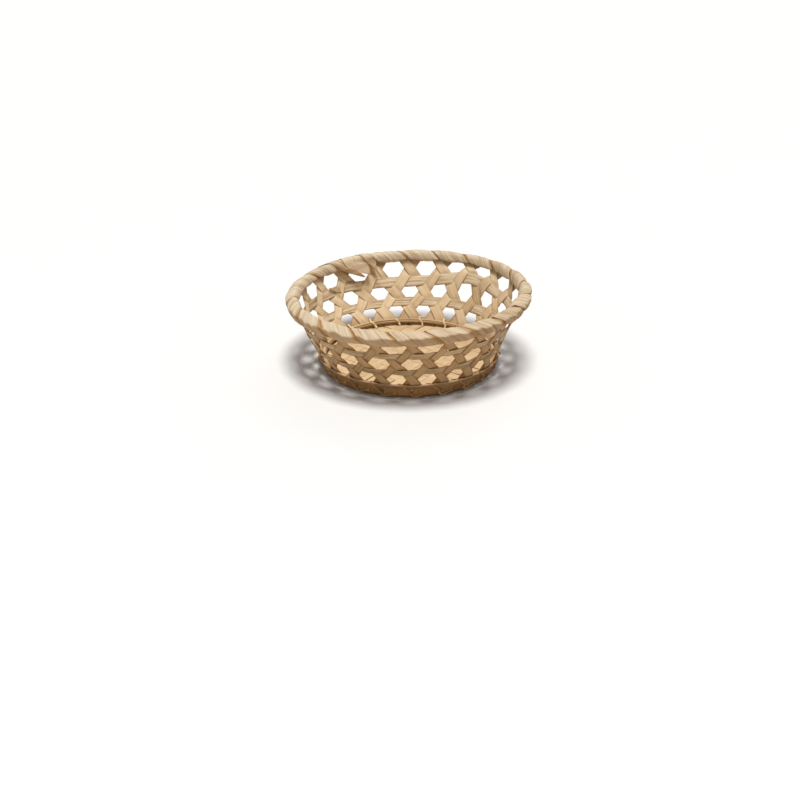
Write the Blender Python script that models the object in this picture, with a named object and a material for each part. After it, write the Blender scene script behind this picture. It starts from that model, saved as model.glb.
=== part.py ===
"""Small round hand-woven basket with an open hexagonal wall.

Twenty long strips cross in a plain-woven floor, dip round the foot and rise
as forty leaning ends. Two weaver rings lock the ends into rows of six-sided
holes. Two hoops and a lashed strand hold the base, and two more hoops under
one broad wound strip make the rim.

Metres, +Z up. The origin is on the ground, on the basket's axis.
"""

import math

import bmesh
import bpy
from mathutils import Vector

# Counts and angles of the weave
hexagons = 20
strips_each_way = hexagons // 2
hexagon_angle = 2.0 * math.pi / hexagons
end_angle = hexagon_angle / 2.0
level_angle = hexagon_angle / 4.0
first_crossing_angle = math.pi / 2.0
floor_turn = first_crossing_angle - hexagon_angle * 2.0
outermost_end_angle = end_angle * (strips_each_way - 1) / 2.0

# Clearance between pieces that touch
seat_gap = 0.0003

# Rim
rim_radius = 0.104
rim_height = 0.066
rim_tube_radius = 0.006
rim_core_radius = 0.00475
rim_hoop_facets = 4
large_hoop_sides = 72

# Wall
base_radius = 0.0793
base_height = 0.0095
wall_hollow = 0.0009
first_crossing_height = 0.0195
lower_ring_height = 0.028
upper_ring_height = 0.046
wall_samples = 60

# Floor and foot
floor_height = 0.005
foot_flat_inner_radius = 0.0744
foot_flat_width = 0.0018
floor_edge_share = 0.864
floor_slope_shares = ((0.902, 0.72), (0.928, 0.18))
foot_rise_radius_share = 0.984
foot_rise_height_share = 0.2
foot_shoulder_radius_share = 0.995
foot_shoulder_height_share = 0.526

# Strips of the weave
strip_thickness = 0.0004
weave_lift = 0.00038
floor_slot = 0.0014
foot_strip_width = 0.0068
lower_strip_width = 0.0065
upper_strip_width = 0.0070
rim_strip_width = 0.0076
floor_rise_half = 0.0005
wall_rise_half = 0.00045
lift_fade = 0.0015
crossing_margin = 0.0002
strip_end_margin = 0.0007

# Weaver rings
lower_ring_width = 0.0062
upper_ring_width = 0.0066

# Base hoops
outer_hoop_low = 0.0072
outer_hoop_tall = 0.005
outer_hoop_thickness = 0.002
outer_hoop_shoulder = 0.0004
inner_hoop_radius = 0.0024
inner_hoop_seat_height = 0.0086
inner_hoop_sides = 60
inner_hoop_facets = 8

# Rim wrap
wrap_thickness = 0.00045
wrap_slot = 0.0009
wrap_narrow = 0.012
wrap_steps = 12
wrap_neck_angle = math.radians(18.0)
wrap_spread_angle = math.radians(75.0)
wrap_end_angle = math.radians(8.0)

# Base lashing
strand_width = 0.0014
strand_thickness = 0.0007
strand_over_hoop = 0.0014
stitch_out_shares = (0.10, 0.14)
stitch_over_shares = (0.19, 0.28, 0.37)
stitch_under_shares = (0.43, 0.50, 0.62)
stitch_in_shares = (0.80, 0.93, 0.97)
stitch_climb_shares = (1.0, 1.03, 1.06, 1.08)
stitch_climb_angles = tuple(math.radians(angle) for angle in (262.0, 212.0, 158.0, 98.0))
stitch_leave_share = 0.72

MATERIALS = {
    "weave_strip": ((0.66, 0.50, 0.30), 0.62),
    "weaver_ring": ((0.60, 0.45, 0.27), 0.60),
    "hoop": ((0.62, 0.47, 0.28), 0.55),
    "rim_wrap": ((0.74, 0.61, 0.42), 0.66),
    "lashing": ((0.80, 0.65, 0.42), 0.58),
}


def smooth_step(value):
    """Ease from 0 to 1."""
    value = min(max(value, 0.0), 1.0)
    return value * value * (3.0 - 2.0 * value)


def hermite(start, start_slope, end, end_slope, span, share):
    """Cubic between two values with given slopes at the ends."""
    square = share * share
    cube = square * share
    return (
        start * (2.0 * cube - 3.0 * square + 1.0)
        + start_slope * span * (cube - 2.0 * square + share)
        + end * (3.0 * square - 2.0 * cube)
        + end_slope * span * (cube - square)
    )


def wall_radius(height):
    """Radius of the wall's middle surface, slightly hollow between base and rim."""
    share = (height - base_height) / (rim_height - base_height)
    straight = base_radius + (rim_radius - base_radius) * share
    return straight - 4.0 * wall_hollow * share * (1.0 - share)


class Sheet:
    """The middle surface of the woven sheet, turned about the basket's axis.

    A place on it is a run, which is the way from the floor's centre along the
    section, an azimuth, and a lift towards the inside of the basket.
    """

    def __init__(self):
        foot_level = strip_thickness / 2.0
        points = [(0.0, floor_height), (base_radius * floor_edge_share, floor_height)]
        for radius_share, height_share in floor_slope_shares:
            points.append((base_radius * radius_share, floor_height * height_share))
        foot_flat_outer = foot_flat_inner_radius + foot_flat_width
        points.append((foot_flat_inner_radius, foot_level))
        points.append((foot_flat_outer, foot_level))
        self.lowest = len(points) - 1
        points.append((base_radius * foot_rise_radius_share, base_height * foot_rise_height_share))
        shoulder_height = base_height * foot_shoulder_height_share
        points.append((base_radius * foot_shoulder_radius_share, shoulder_height))
        top = rim_height + rim_core_radius
        for index in range(wall_samples + 1):
            height = base_height + (top - base_height) * index / wall_samples
            points.append((wall_radius(height), height))
        self.points = [Vector(point) for point in points]
        self.runs = [0.0]
        for start, end in zip(self.points, self.points[1:]):
            self.runs.append(self.runs[-1] + (end - start).length)
        self.floor_edge = self.runs[1]
        self.bend_start = self.runs[2]
        self.foot_runs = self.runs[1 : self.lowest + 2]
        self.foot_corner = self.runs[self.lowest + 1]
        self.shoulder = self.runs[self.lowest + 2]

    def piece_at(self, run):
        """Index of the section's straight piece that holds the run."""
        for index in range(len(self.runs) - 2):
            if run < self.runs[index + 1]:
                return index
        return len(self.runs) - 2

    def section_point(self, run):
        """Radius and height at a run."""
        index = self.piece_at(run)
        share = (run - self.runs[index]) / (self.runs[index + 1] - self.runs[index])
        return self.points[index].lerp(self.points[index + 1], share)

    def inward(self, run):
        """Direction of one unit of lift at a run, mitred at the section's corners."""
        index = self.piece_at(run)
        along = (self.points[index + 1] - self.points[index]).normalized()
        normal = Vector((-along.y, along.x))
        if index == 0 or run - self.runs[index] > seat_gap / 10.0:
            return normal
        before = (self.points[index] - self.points[index - 1]).normalized()
        before_normal = Vector((-before.y, before.x))
        mitre = (normal + before_normal).normalized()
        return mitre / mitre.dot(normal)

    def radius(self, run):
        """Radius at a run."""
        return self.section_point(run).x

    def run_at_height(self, height):
        """Run of the place on the rising wall at a height."""
        for index in range(len(self.points) - 2, self.lowest - 1, -1):
            if self.points[index].y <= height:
                low, high = self.points[index], self.points[index + 1]
                share = (height - low.y) / (high.y - low.y)
                return self.runs[index] + (self.runs[index + 1] - self.runs[index]) * share
        return self.runs[self.lowest]

    def lifted(self, run, lift):
        """Radius and height of a place that stands off the sheet by a lift."""
        return self.section_point(run) + self.inward(run) * lift

    def place(self, run, azimuth, lift):
        """Point in space at a run, an azimuth and a lift."""
        radius, height = self.lifted(run, lift)
        return Vector((radius * math.cos(azimuth), radius * math.sin(azimuth), height))


sheet = Sheet()
run_first_crossing = sheet.run_at_height(first_crossing_height)
run_lower_ring = sheet.run_at_height(lower_ring_height)
run_second_crossing = sheet.run_at_height((lower_ring_height + upper_ring_height) / 2.0)
run_upper_ring = sheet.run_at_height(upper_ring_height)
run_third_crossing = sheet.run_at_height((upper_ring_height + rim_height) / 2.0)
run_rim = sheet.run_at_height(rim_height)
levels = (
    run_first_crossing,
    run_lower_ring,
    run_second_crossing,
    run_upper_ring,
    run_third_crossing,
    run_rim,
)
strip_pitch = sheet.bend_start * math.sin(outermost_end_angle) * 2.0 / (strips_each_way - 1)
floor_strip_width = strip_pitch - floor_slot


def new_material(name, finish):
    """Principled material of one piece."""
    colour, roughness = MATERIALS[finish]
    material = bpy.data.materials.new(name)
    material.use_nodes = True
    shader = material.node_tree.nodes["Principled BSDF"]
    shader.inputs["Base Color"].default_value = (*colour, 1.0)
    shader.inputs["Roughness"].default_value = roughness
    shader.inputs["Metallic"].default_value = 0.0
    material.diffuse_color = (*colour, 1.0)
    return material


def new_object(name, mesh_data, finish, smooth_angle):
    """Turn a bmesh into a named object with its own material."""
    bmesh.ops.recalc_face_normals(mesh_data, faces=mesh_data.faces)
    mesh = bpy.data.meshes.new(name)
    mesh_data.to_mesh(mesh)
    mesh_data.free()
    mesh.materials.append(new_material(name, finish))
    mesh.shade_smooth()
    mesh.set_sharp_from_angle(angle=smooth_angle)
    piece = bpy.data.objects.new(name, mesh)
    bpy.context.scene.collection.objects.link(piece)
    return piece


def loft(name, sections, finish, closed, smooth_angle=math.radians(40.0)):
    """Skin a row of sections that have the same number of points."""
    mesh_data = bmesh.new()
    loops = [[mesh_data.verts.new(point) for point in section] for section in sections]
    pairs = list(zip(loops, loops[1:]))
    if closed:
        pairs.append((loops[-1], loops[0]))
    for near, far in pairs:
        for index in range(len(near)):
            following = (index + 1) % len(near)
            mesh_data.faces.new((near[index], near[following], far[following], far[index]))
    if not closed:
        mesh_data.faces.new(loops[0])
        mesh_data.faces.new(reversed(loops[-1]))
    return new_object(name, mesh_data, finish, smooth_angle)


def turned_hoop(name, outline, sides, finish, smooth_angle):
    """Spin a closed outline of radius and height about the basket's axis."""
    mesh_data = bmesh.new()
    verts = [mesh_data.verts.new((radius, 0.0, height)) for radius, height in outline]
    edges = []
    for index, vert in enumerate(verts):
        edges.append(mesh_data.edges.new((vert, verts[(index + 1) % len(verts)])))
    bmesh.ops.spin(
        mesh_data,
        geom=verts + edges,
        cent=(0.0, 0.0, 0.0),
        axis=(0.0, 0.0, 1.0),
        angle=2.0 * math.pi,
        steps=sides,
        use_merge=True,
    )
    return new_object(name, mesh_data, finish, smooth_angle)


class StripEnd:
    """One half of a long strip, from the floor's middle line out to the rim.

    The half runs out along a direction of the floor at an offset from the
    floor's centre. On the wall it leans to greater azimuths when its lean is
    1 and to smaller ones when its lean is -1.
    """

    def __init__(self, direction, index):
        self.direction = direction
        self.index = index
        self.offset = (index - (strips_each_way - 1) / 2.0) * strip_pitch
        self.lean = 1 if index % 2 == 0 else -1
        self.end_azimuth = direction + (index - (strips_each_way - 1) / 2.0) * end_angle

    def azimuth(self, run):
        """Azimuth of the strip's middle line at a run."""
        straight = sheet.bend_start
        if run <= straight:
            return self.direction + math.asin(self.offset / run)
        if run <= sheet.shoulder:
            span = sheet.shoulder - straight
            start = self.direction + math.asin(self.offset / straight)
            slope = -self.offset / (straight * math.sqrt(straight**2 - self.offset**2))
            share = (run - straight) / span
            return hermite(start, slope, self.end_azimuth, 0.0, span, share)
        if run <= run_first_crossing:
            span = run_first_crossing - sheet.shoulder
            slope = self.lean * level_angle / (run_lower_ring - run_first_crossing)
            share = (run - sheet.shoulder) / span
            crossing = self.end_azimuth + self.lean * level_angle
            return hermite(self.end_azimuth, 0.0, crossing, slope, span, share)
        step = len(levels) - 2
        for level in range(len(levels) - 1):
            if run < levels[level + 1]:
                step = level
                break
        share = (run - levels[step]) / (levels[step + 1] - levels[step])
        return self.end_azimuth + self.lean * level_angle * (1.0 + step + share)

    def slope(self, run):
        """Sideways travel of the strip for each unit of run."""
        reach = seat_gap
        change = self.azimuth(run + reach) - self.azimuth(run - reach)
        return sheet.radius(run) * change / (2.0 * reach)

    def width(self, run):
        """Width of the strip, which narrows at the foot and widens up the wall."""
        marks = (
            (sheet.floor_edge - floor_strip_width, floor_strip_width),
            (sheet.foot_corner, foot_strip_width),
            (run_lower_ring, lower_strip_width),
            (run_upper_ring, upper_strip_width),
            (run_rim, rim_strip_width),
        )
        if run <= marks[0][0]:
            return floor_strip_width
        for (low, low_width), (high, high_width) in zip(marks, marks[1:]):
            if run <= high:
                return low_width + (high_width - low_width) * (run - low) / (high - low)
        return rim_strip_width

    def floor_edges(self, distance, lift):
        """Edges of the strip at a distance along the flat floor."""
        half = floor_strip_width / 2.0
        edges = []
        for side in (self.offset - half, self.offset + half):
            run = math.hypot(distance, side)
            azimuth = self.direction + math.atan2(side, distance)
            edges.append((run, azimuth, lift))
        return edges

    def ring_edges(self, run, lift):
        """Edges of the strip along the circle at a run."""
        slope = self.slope(run)
        half = self.width(run) / 2.0 * math.sqrt(1.0 + slope * slope)
        turn = half / sheet.radius(run)
        azimuth = self.azimuth(run)
        return [(run, azimuth - turn, lift), (run, azimuth + turn, lift)]

    def cross_edges(self, run, lift, skew):
        """Edges of the strip square to its length, or skewed along it."""
        slope = self.slope(run)
        length = math.sqrt(1.0 + slope * slope)
        half = self.width(run) / 2.0
        edges = []
        for side in (-half, half):
            up = side * (-slope + skew) / length
            around = side * (1.0 + skew * slope) / length
            turn = around / sheet.radius(run)
            edges.append((run + up, self.azimuth(run) + turn, lift))
        return edges

    def weave_change(self, crossing, ring):
        """Run and skew of the place where the strip changes sides between two levels."""
        span = abs(ring - crossing)
        middle = (ring + crossing) / 2.0
        lean_angle = math.atan(sheet.radius(middle) * level_angle / span)
        share = 1.0 / (1.0 + 2.0 * math.sin(lean_angle))
        skew = math.cos(2.0 * lean_angle) - math.sin(lean_angle)
        skew /= math.sin(2.0 * lean_angle) + math.cos(lean_angle)
        return crossing + (ring - crossing) * share, -self.lean * skew

    def floor_stations(self, over_first):
        """Stations over the flat floor, from the first change of sides outwards."""
        stations = []
        sign = 1.0 if over_first else -1.0
        stations.append(self.floor_edges(floor_rise_half, sign * weave_lift))
        for step in range(1, strips_each_way // 2):
            middle = step * strip_pitch
            stations.append(self.floor_edges(middle - floor_rise_half, sign * weave_lift))
            sign = -sign
            stations.append(self.floor_edges(middle + floor_rise_half, sign * weave_lift))
        return stations, sign * weave_lift

    def leaving_runs(self):
        """Runs where the strip has left its last crossing on the floor and lies flat."""
        last = strip_pitch * (strips_each_way - 1) / 2.0
        half = foot_strip_width / 2.0
        if abs(self.offset) + strip_pitch / 2.0 < last:
            half = floor_strip_width / 2.0
        leave = math.hypot(last + half + crossing_margin, abs(self.offset) + half)
        return leave, leave + lift_fade

    def foot_stations(self, lift):
        """Stations from the last floor crossing, round the foot, to the shoulder."""
        leave, flat = self.leaving_runs()
        stations = []
        for run in sorted(list(sheet.foot_runs) + [leave, flat]):
            share = min(max((run - leave) / (flat - leave), 0.0), 1.0)
            stations.append(self.ring_edges(run, lift * (1.0 - share)))
        stations.append(self.ring_edges(sheet.shoulder, 0.0))
        return stations

    def clear_run(self, crossing, way):
        """Run above or below a crossing where the two strips no longer overlap."""
        run = crossing
        middle = self.azimuth(crossing)
        apart = 0.0
        needed = self.width(crossing)
        while apart < needed:
            run += way * seat_gap
            slope = self.slope(run)
            apart = 2.0 * sheet.radius(run) * abs(self.azimuth(run) - middle)
            needed = self.width(run) * math.sqrt(1.0 + slope * slope)
        return run + way * crossing_margin

    def wall_stations(self):
        """Stations up the wall: outside or inside by turns, then flat into the rim."""
        lift = self.lean * weave_lift
        enter = self.clear_run(run_first_crossing, -1.0)
        stations = [
            self.ring_edges((sheet.shoulder + enter) / 2.0, 0.0),
            self.ring_edges(enter - lift_fade, 0.0),
            self.ring_edges(enter, lift),
        ]
        changes = (
            (run_first_crossing, run_lower_ring),
            (run_second_crossing, run_lower_ring),
            (run_second_crossing, run_upper_ring),
            (run_third_crossing, run_upper_ring),
        )
        for crossing, ring in changes:
            run, skew = self.weave_change(crossing, ring)
            stations.append(self.cross_edges(run - wall_rise_half, lift, skew))
            lift = -lift
            stations.append(self.cross_edges(run + wall_rise_half, lift, skew))
        leave = self.clear_run(run_third_crossing, 1.0)
        tip = run_rim + rim_core_radius - strip_end_margin
        stations.append(self.ring_edges(leave, lift))
        stations.append(self.ring_edges(leave + lift_fade, 0.0))
        stations.append(self.ring_edges(tip, 0.0))
        return stations

    def stations(self, over_first):
        """All stations of the half, from the floor's middle line to the rim."""
        floor, lift = self.floor_stations(over_first)
        return floor + self.foot_stations(lift) + self.wall_stations()


def strip_section(edges):
    """Four corners of a strip from its two edges, inner face first."""
    (run_a, azimuth_a, lift_a), (run_b, azimuth_b, lift_b) = edges
    half = strip_thickness / 2.0
    return [
        sheet.place(run_a, azimuth_a, lift_a + half),
        sheet.place(run_b, azimuth_b, lift_b + half),
        sheet.place(run_b, azimuth_b, lift_b - half),
        sheet.place(run_a, azimuth_a, lift_a - half),
    ]


def build_weave_strip(name, direction, index):
    """One long strip: rim to floor, across the floor, and up to the rim again."""
    ahead = StripEnd(direction, index)
    behind = StripEnd(direction + math.pi, strips_each_way - 1 - index)
    middle = strips_each_way // 2
    over_ahead = (index + middle) % 2 == 0
    first = behind.stations(not over_ahead)
    sections = [strip_section(edges[::-1]) for edges in reversed(first)]
    sections += [strip_section(edges) for edges in ahead.stations(over_ahead)]
    return loft(name, sections, "weave_strip", closed=False)


def build_weave_strips():
    """Both families of long strips, square to each other on the floor."""
    for index in range(strips_each_way):
        build_weave_strip(f"weave_strip_a{index + 1:02d}", floor_turn, index)
    for index in range(strips_each_way):
        turned = floor_turn + math.pi / 2.0
        build_weave_strip(f"weave_strip_b{index + 1:02d}", turned, index)


def build_weaver_ring(name, run, width, level):
    """A flat ring that passes outside one strip end and inside the next."""
    radius = sheet.radius(run)
    half_rise = wall_rise_half / radius
    sag = radius * (1.0 - math.cos(end_angle / 2.0)) / 2.0
    sections = []
    first = first_crossing_angle + level_angle * (1 - level)
    for step in range(2 * hexagons):
        middle = first + step * end_angle
        inside = -weave_lift if step % 2 == 0 else weave_lift
        start = (run, middle - end_angle / 2.0 + half_rise, inside - sag)
        end = (run, middle + end_angle / 2.0 - half_rise, inside - sag)
        for place, azimuth, lift in (start, end):
            low = (place - width / 2.0, azimuth, lift)
            high = (place + width / 2.0, azimuth, lift)
            sections.append(strip_section((low, high)))
    return loft(name, sections, "weaver_ring", closed=True)


def build_weaver_rings():
    """The two rings between the rows of holes."""
    build_weaver_ring("lower_weaver_ring", run_lower_ring, lower_ring_width, 2)
    build_weaver_ring("upper_weaver_ring", run_upper_ring, upper_ring_width, 4)


def rim_frame():
    """Centre of the rim's section, and its outward and upward directions."""
    centre = sheet.section_point(run_rim)
    inward = sheet.inward(run_rim).normalized()
    outward = -inward
    upward = Vector((-outward.y, outward.x))
    return centre, outward, upward


def build_rim_hoop(name, side):
    """Half-round hoop on one side of the strip ends, which it traps."""
    centre, outward, upward = rim_frame()
    face = weave_lift + strip_thickness / 2.0 + seat_gap
    face_angle = math.acos(face / rim_core_radius)
    outline = []
    for step in range(rim_hoop_facets + 1):
        angle = -face_angle + 2.0 * face_angle * step / rim_hoop_facets
        along = outward * (side * rim_core_radius * math.cos(angle))
        outline.append(centre + along + upward * (rim_core_radius * math.sin(angle)))
    return turned_hoop(name, outline, large_hoop_sides, "hoop", math.radians(60.0))


def build_rim_hoops():
    """The outer and the inner hoop of the rim."""
    build_rim_hoop("outer_rim_hoop", 1.0)
    build_rim_hoop("inner_rim_hoop", -1.0)


def wrap_point(angle, azimuth, stand_off):
    """Point round the rim's section at an angle and a distance from its centre."""
    centre, outward, upward = rim_frame()
    spot = centre + outward * (stand_off * math.cos(angle)) + upward * (stand_off * math.sin(angle))
    return Vector((spot.x * math.cos(azimuth), spot.x * math.sin(azimuth), spot.y))


def wrap_half_angle(angle):
    """Half of the wrap's span round the rim: broad, but gathered below the rim."""
    broad = (hexagon_angle - wrap_slot / rim_radius) / 2.0
    narrow = wrap_narrow / 2.0 / sheet.radius(run_rim - rim_tube_radius)
    below = abs((angle + math.pi / 2.0 + math.pi) % (2.0 * math.pi) - math.pi)
    spread = (below - wrap_neck_angle) / (wrap_spread_angle - wrap_neck_angle)
    return narrow + (broad - narrow) * smooth_step(spread)


def build_rim_wrap():
    """One broad strip wound round the rim, a turn for each hole of the top row."""
    start = -math.pi / 2.0 - wrap_end_angle
    end = -math.pi / 2.0 - 2.0 * math.pi * hexagons + wrap_end_angle
    count = wrap_steps * hexagons
    hole = first_crossing_angle + end_angle + hexagon_angle
    outer = rim_tube_radius
    inner = rim_tube_radius - wrap_thickness
    sections = []
    edges = []
    for step in range(count + 1):
        angle = start + (end - start) * step / count
        middle = hole - (angle + math.pi / 2.0) / hexagons
        half = wrap_half_angle(angle)
        places = (middle - half, middle, middle + half)
        section = [wrap_point(angle, azimuth, outer) for azimuth in places]
        section += [wrap_point(angle, azimuth, inner) for azimuth in reversed(places)]
        sections.append(section)
        edges.append((section[0], section[2]))
    least = min(
        (edges[near][1] - edges[far][0]).length
        for near in range(count + 1)
        for far in range(near + wrap_steps // 2, min(near + 2 * wrap_steps, count + 1))
    )
    print(f"rim_wrap: {hexagons} turns, least gap to itself {least * 1000.0:.2f} mm")
    return loft("rim_wrap", sections, "rim_wrap", closed=False, smooth_angle=math.radians(50.0))


def outer_hoop_lift():
    """Lift of the outer base hoop's outer face."""
    return -(strip_thickness / 2.0 + seat_gap + outer_hoop_thickness)


def inner_hoop_centre():
    """Radius and height of the middle of the inner base hoop's section."""
    run = sheet.run_at_height(inner_hoop_seat_height)
    return sheet.lifted(run, strip_thickness / 2.0 + seat_gap + inner_hoop_radius)


def build_base_hoops():
    """The flat outer hoop and the round inner hoop that grip the strip ends."""
    low = sheet.run_at_height(outer_hoop_low)
    high = sheet.run_at_height(outer_hoop_low + outer_hoop_tall)
    seat = -(strip_thickness / 2.0 + seat_gap)
    face = outer_hoop_lift()
    outline = [
        sheet.lifted(low, seat),
        sheet.lifted(low, face + outer_hoop_shoulder),
        sheet.lifted((low + high) / 2.0, face),
        sheet.lifted(high, face + outer_hoop_shoulder),
        sheet.lifted(high, seat),
    ]
    turned_hoop("outer_base_hoop", outline, large_hoop_sides, "hoop", math.radians(50.0))
    centre = inner_hoop_centre()
    outline = []
    for step in range(inner_hoop_facets):
        angle = 2.0 * math.pi * (step + 0.5) / inner_hoop_facets
        spoke = Vector((math.cos(angle), math.sin(angle)))
        outline.append(centre + spoke * inner_hoop_radius)
    turned_hoop("inner_base_hoop", outline, inner_hoop_sides, "hoop", math.radians(60.0))


def lashing_stitch():
    """One stitch of the strand as section points, each with its share of a hexagon.

    The strand comes out of a hole above the hoops, slants down over the outer
    hoop, dips under the crossing, rises to the next slot between the strips,
    goes in below the inner hoop and climbs over it to the next hole.
    """
    half = strand_thickness / 2.0
    skin = strip_thickness / 2.0 + seat_gap + half
    over_hoop = outer_hoop_lift() - seat_gap - half
    hoop_low = sheet.run_at_height(outer_hoop_low)
    hoop_high = sheet.run_at_height(outer_hoop_low + outer_hoop_tall)
    above = hoop_high + strand_over_hoop
    under = (sheet.foot_corner + sheet.shoulder) / 2.0
    slot = sheet.shoulder
    shoulder_lift = over_hoop + outer_hoop_shoulder / 2.0
    out = (sheet.lifted(above, 0.0), sheet.lifted(above - seat_gap, over_hoop * stitch_leave_share))
    over = (
        sheet.lifted(hoop_high, shoulder_lift),
        sheet.lifted((hoop_low + hoop_high) / 2.0, over_hoop),
        sheet.lifted(hoop_low, shoulder_lift),
    )
    below = (
        sheet.lifted(slot, -skin - half),
        sheet.lifted(sheet.foot_corner, -skin),
        sheet.lifted(under, -skin - seat_gap),
    )
    into = (
        sheet.lifted(slot, -skin - seat_gap),
        sheet.lifted(slot, -skin),
        sheet.lifted(slot, 0.0),
    )
    centre = inner_hoop_centre()
    reach = inner_hoop_radius + seat_gap + half
    reach /= math.cos(math.pi / inner_hoop_facets)
    spokes = [Vector((math.cos(angle), math.sin(angle))) for angle in stitch_climb_angles]
    climb = [centre + spoke * reach for spoke in spokes]
    stitch = list(zip(out, stitch_out_shares))
    stitch += zip(over, stitch_over_shares)
    stitch += zip(below, stitch_under_shares)
    stitch += zip(into, stitch_in_shares)
    stitch += zip(climb, stitch_climb_shares)
    return stitch


def build_base_lashing():
    """One thin strand sewn round both base hoops, a stitch for each hexagon."""
    stitch = lashing_stitch()
    first_hole = first_crossing_angle + end_angle
    core = sheet.lifted(sheet.run_at_height(base_height), strip_thickness)
    path = []
    for turn in range(hexagons):
        for spot, share in stitch:
            azimuth = first_hole + (turn + share) * hexagon_angle
            path.append((spot, azimuth))
    path = path[1:]
    points = []
    outwards = []
    for spot, azimuth in path:
        spoke = Vector((math.cos(azimuth), math.sin(azimuth), 0.0))
        points.append(spoke * spot.x + Vector((0.0, 0.0, spot.y)))
        away = (spot - core).normalized()
        outwards.append(spoke * away.x + Vector((0.0, 0.0, away.y)))
    sections = []
    for index, point in enumerate(points):
        before = points[max(index - 1, 0)]
        after = points[min(index + 1, len(points) - 1)]
        along = (after - before).normalized()
        across = along.cross(outwards[index]).normalized()
        rise = across.cross(along).normalized()
        side = across * strand_width / 2.0
        thick = rise * strand_thickness / 2.0
        sections.append([
            point - side - thick,
            point + side - thick,
            point + side + thick,
            point - side + thick,
        ])
    least = min(
        (points[near] - points[far]).length
        for near in range(len(points))
        for far in range(near + len(stitch) // 2, min(near + 2 * len(stitch), len(points)))
    )
    gap = least - strand_width
    print(f"base_lashing: {hexagons} stitches, least gap to itself {gap * 1000.0:.2f} mm")
    return loft("base_lashing", sections, "lashing", closed=False)


def clear_scene():
    """Remove every object that the scene holds."""
    for piece in list(bpy.data.objects):
        bpy.data.objects.remove(piece, do_unlink=True)


def main():
    """Build the basket piece by piece."""
    clear_scene()
    build_weave_strips()
    build_weaver_rings()
    build_rim_hoops()
    build_rim_wrap()
    build_base_hoops()
    build_base_lashing()


main()
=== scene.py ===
"""Looks of a small round hexagon-weave basket.

Long split strips cross in the floor and rise as the leaning ends of an open
wall. Two rings, four hoops, a lashed strand and a broad wound strip hold them.
Lengths are in metres, and the origin is on the ground, on the basket's axis.
"""

import logging
import math
from dataclasses import dataclass
from enum import Enum

import bmesh
import bpy
import numpy as np
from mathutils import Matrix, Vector

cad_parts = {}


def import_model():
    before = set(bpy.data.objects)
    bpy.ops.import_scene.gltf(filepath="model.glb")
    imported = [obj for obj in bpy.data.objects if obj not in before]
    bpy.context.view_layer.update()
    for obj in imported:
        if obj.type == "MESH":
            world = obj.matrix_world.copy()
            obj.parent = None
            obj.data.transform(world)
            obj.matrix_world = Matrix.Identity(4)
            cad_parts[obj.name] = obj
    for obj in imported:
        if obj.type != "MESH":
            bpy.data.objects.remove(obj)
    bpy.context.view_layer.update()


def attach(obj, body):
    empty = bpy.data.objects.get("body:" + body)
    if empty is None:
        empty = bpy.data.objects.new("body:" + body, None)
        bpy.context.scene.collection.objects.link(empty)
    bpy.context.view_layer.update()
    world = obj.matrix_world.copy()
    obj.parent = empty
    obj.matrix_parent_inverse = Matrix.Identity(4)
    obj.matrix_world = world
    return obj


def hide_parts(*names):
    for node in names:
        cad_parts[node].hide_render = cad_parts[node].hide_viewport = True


Array = np.ndarray
Colour = tuple[float, float, float]
Shares = tuple[float, ...]
Socket = bpy.types.NodeSocket
log = logging.getLogger("basket")

BODY = "root"
TAU = 2.0 * math.pi
RIGHT_ANGLE = math.pi / 2.0
KNOTS = 512

# How narrow the darkened edges of a strip (painted contact shade, with the darker cut edge) and its
# thinned edges are: higher is narrower.
DARK_EDGE = 10
THIN_EDGE = 6
# Share of a strip's thickness that its edges lack.
THINNING = 0.6
# How far the grain of a strip's outer face lies from that of its inner face.
OTHER_FACE = (0.0, 0.05, 0.4)
# Steps of the seeds from strip to strip, family to family and half to half.
STRIP_SEEDS = 20
FAMILY_SEEDS = 300
HALF_SEEDS = 7


def smooth_step(value: Array) -> Array:
    """Ease from 0 to 1, element by element."""
    value = np.clip(value, 0.0, 1.0)
    return value * value * (3.0 - 2.0 * value)


def wander(place: Array, step: float, seed: int, period: int = KNOTS) -> Array:
    """Read a smooth random line that stays between -1 and 1.

    Args:
        place: Where the line is read.
        step: Distance between two free values of the line.
        seed: Which line it is.
        period: Steps after which the line repeats.

    Returns:
        The line's value at each place.
    """
    knots = np.random.default_rng(seed).uniform(-1.0, 1.0, period)
    where = np.asarray(place) / step
    low = np.floor(where).astype(int)
    share = smooth_step(where - low)
    return knots[low % period] * (1.0 - share) + knots[(low + 1) % period] * share


def cubic_through(places: Array, knots: Array, values: Array, slopes: Array) -> Array:
    """Read a cubic curve that passes through knots with given slopes.

    Args:
        places: Where the curve is read.
        knots: Rising places of the knots.
        values: The curve's value at each knot.
        slopes: The curve's slope at each knot.

    Returns:
        The curve's value at each place.
    """
    index = np.clip(np.searchsorted(knots, places, side="right") - 1, 0, len(knots) - 2)
    span = knots[index + 1] - knots[index]
    share = (places - knots[index]) / span
    square = share * share
    cube = square * share
    return (
        values[index] * (2.0 * cube - 3.0 * square + 1.0)
        + slopes[index] * span * (cube - 2.0 * square + share)
        + values[index + 1] * (3.0 * square - 2.0 * cube)
        + slopes[index + 1] * span * (cube - square)
    )


def middle_slopes(knots: Array, values: Array) -> Array:
    """Slope at each knot, from the knots on either side of it."""
    return np.gradient(values, knots)


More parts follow.
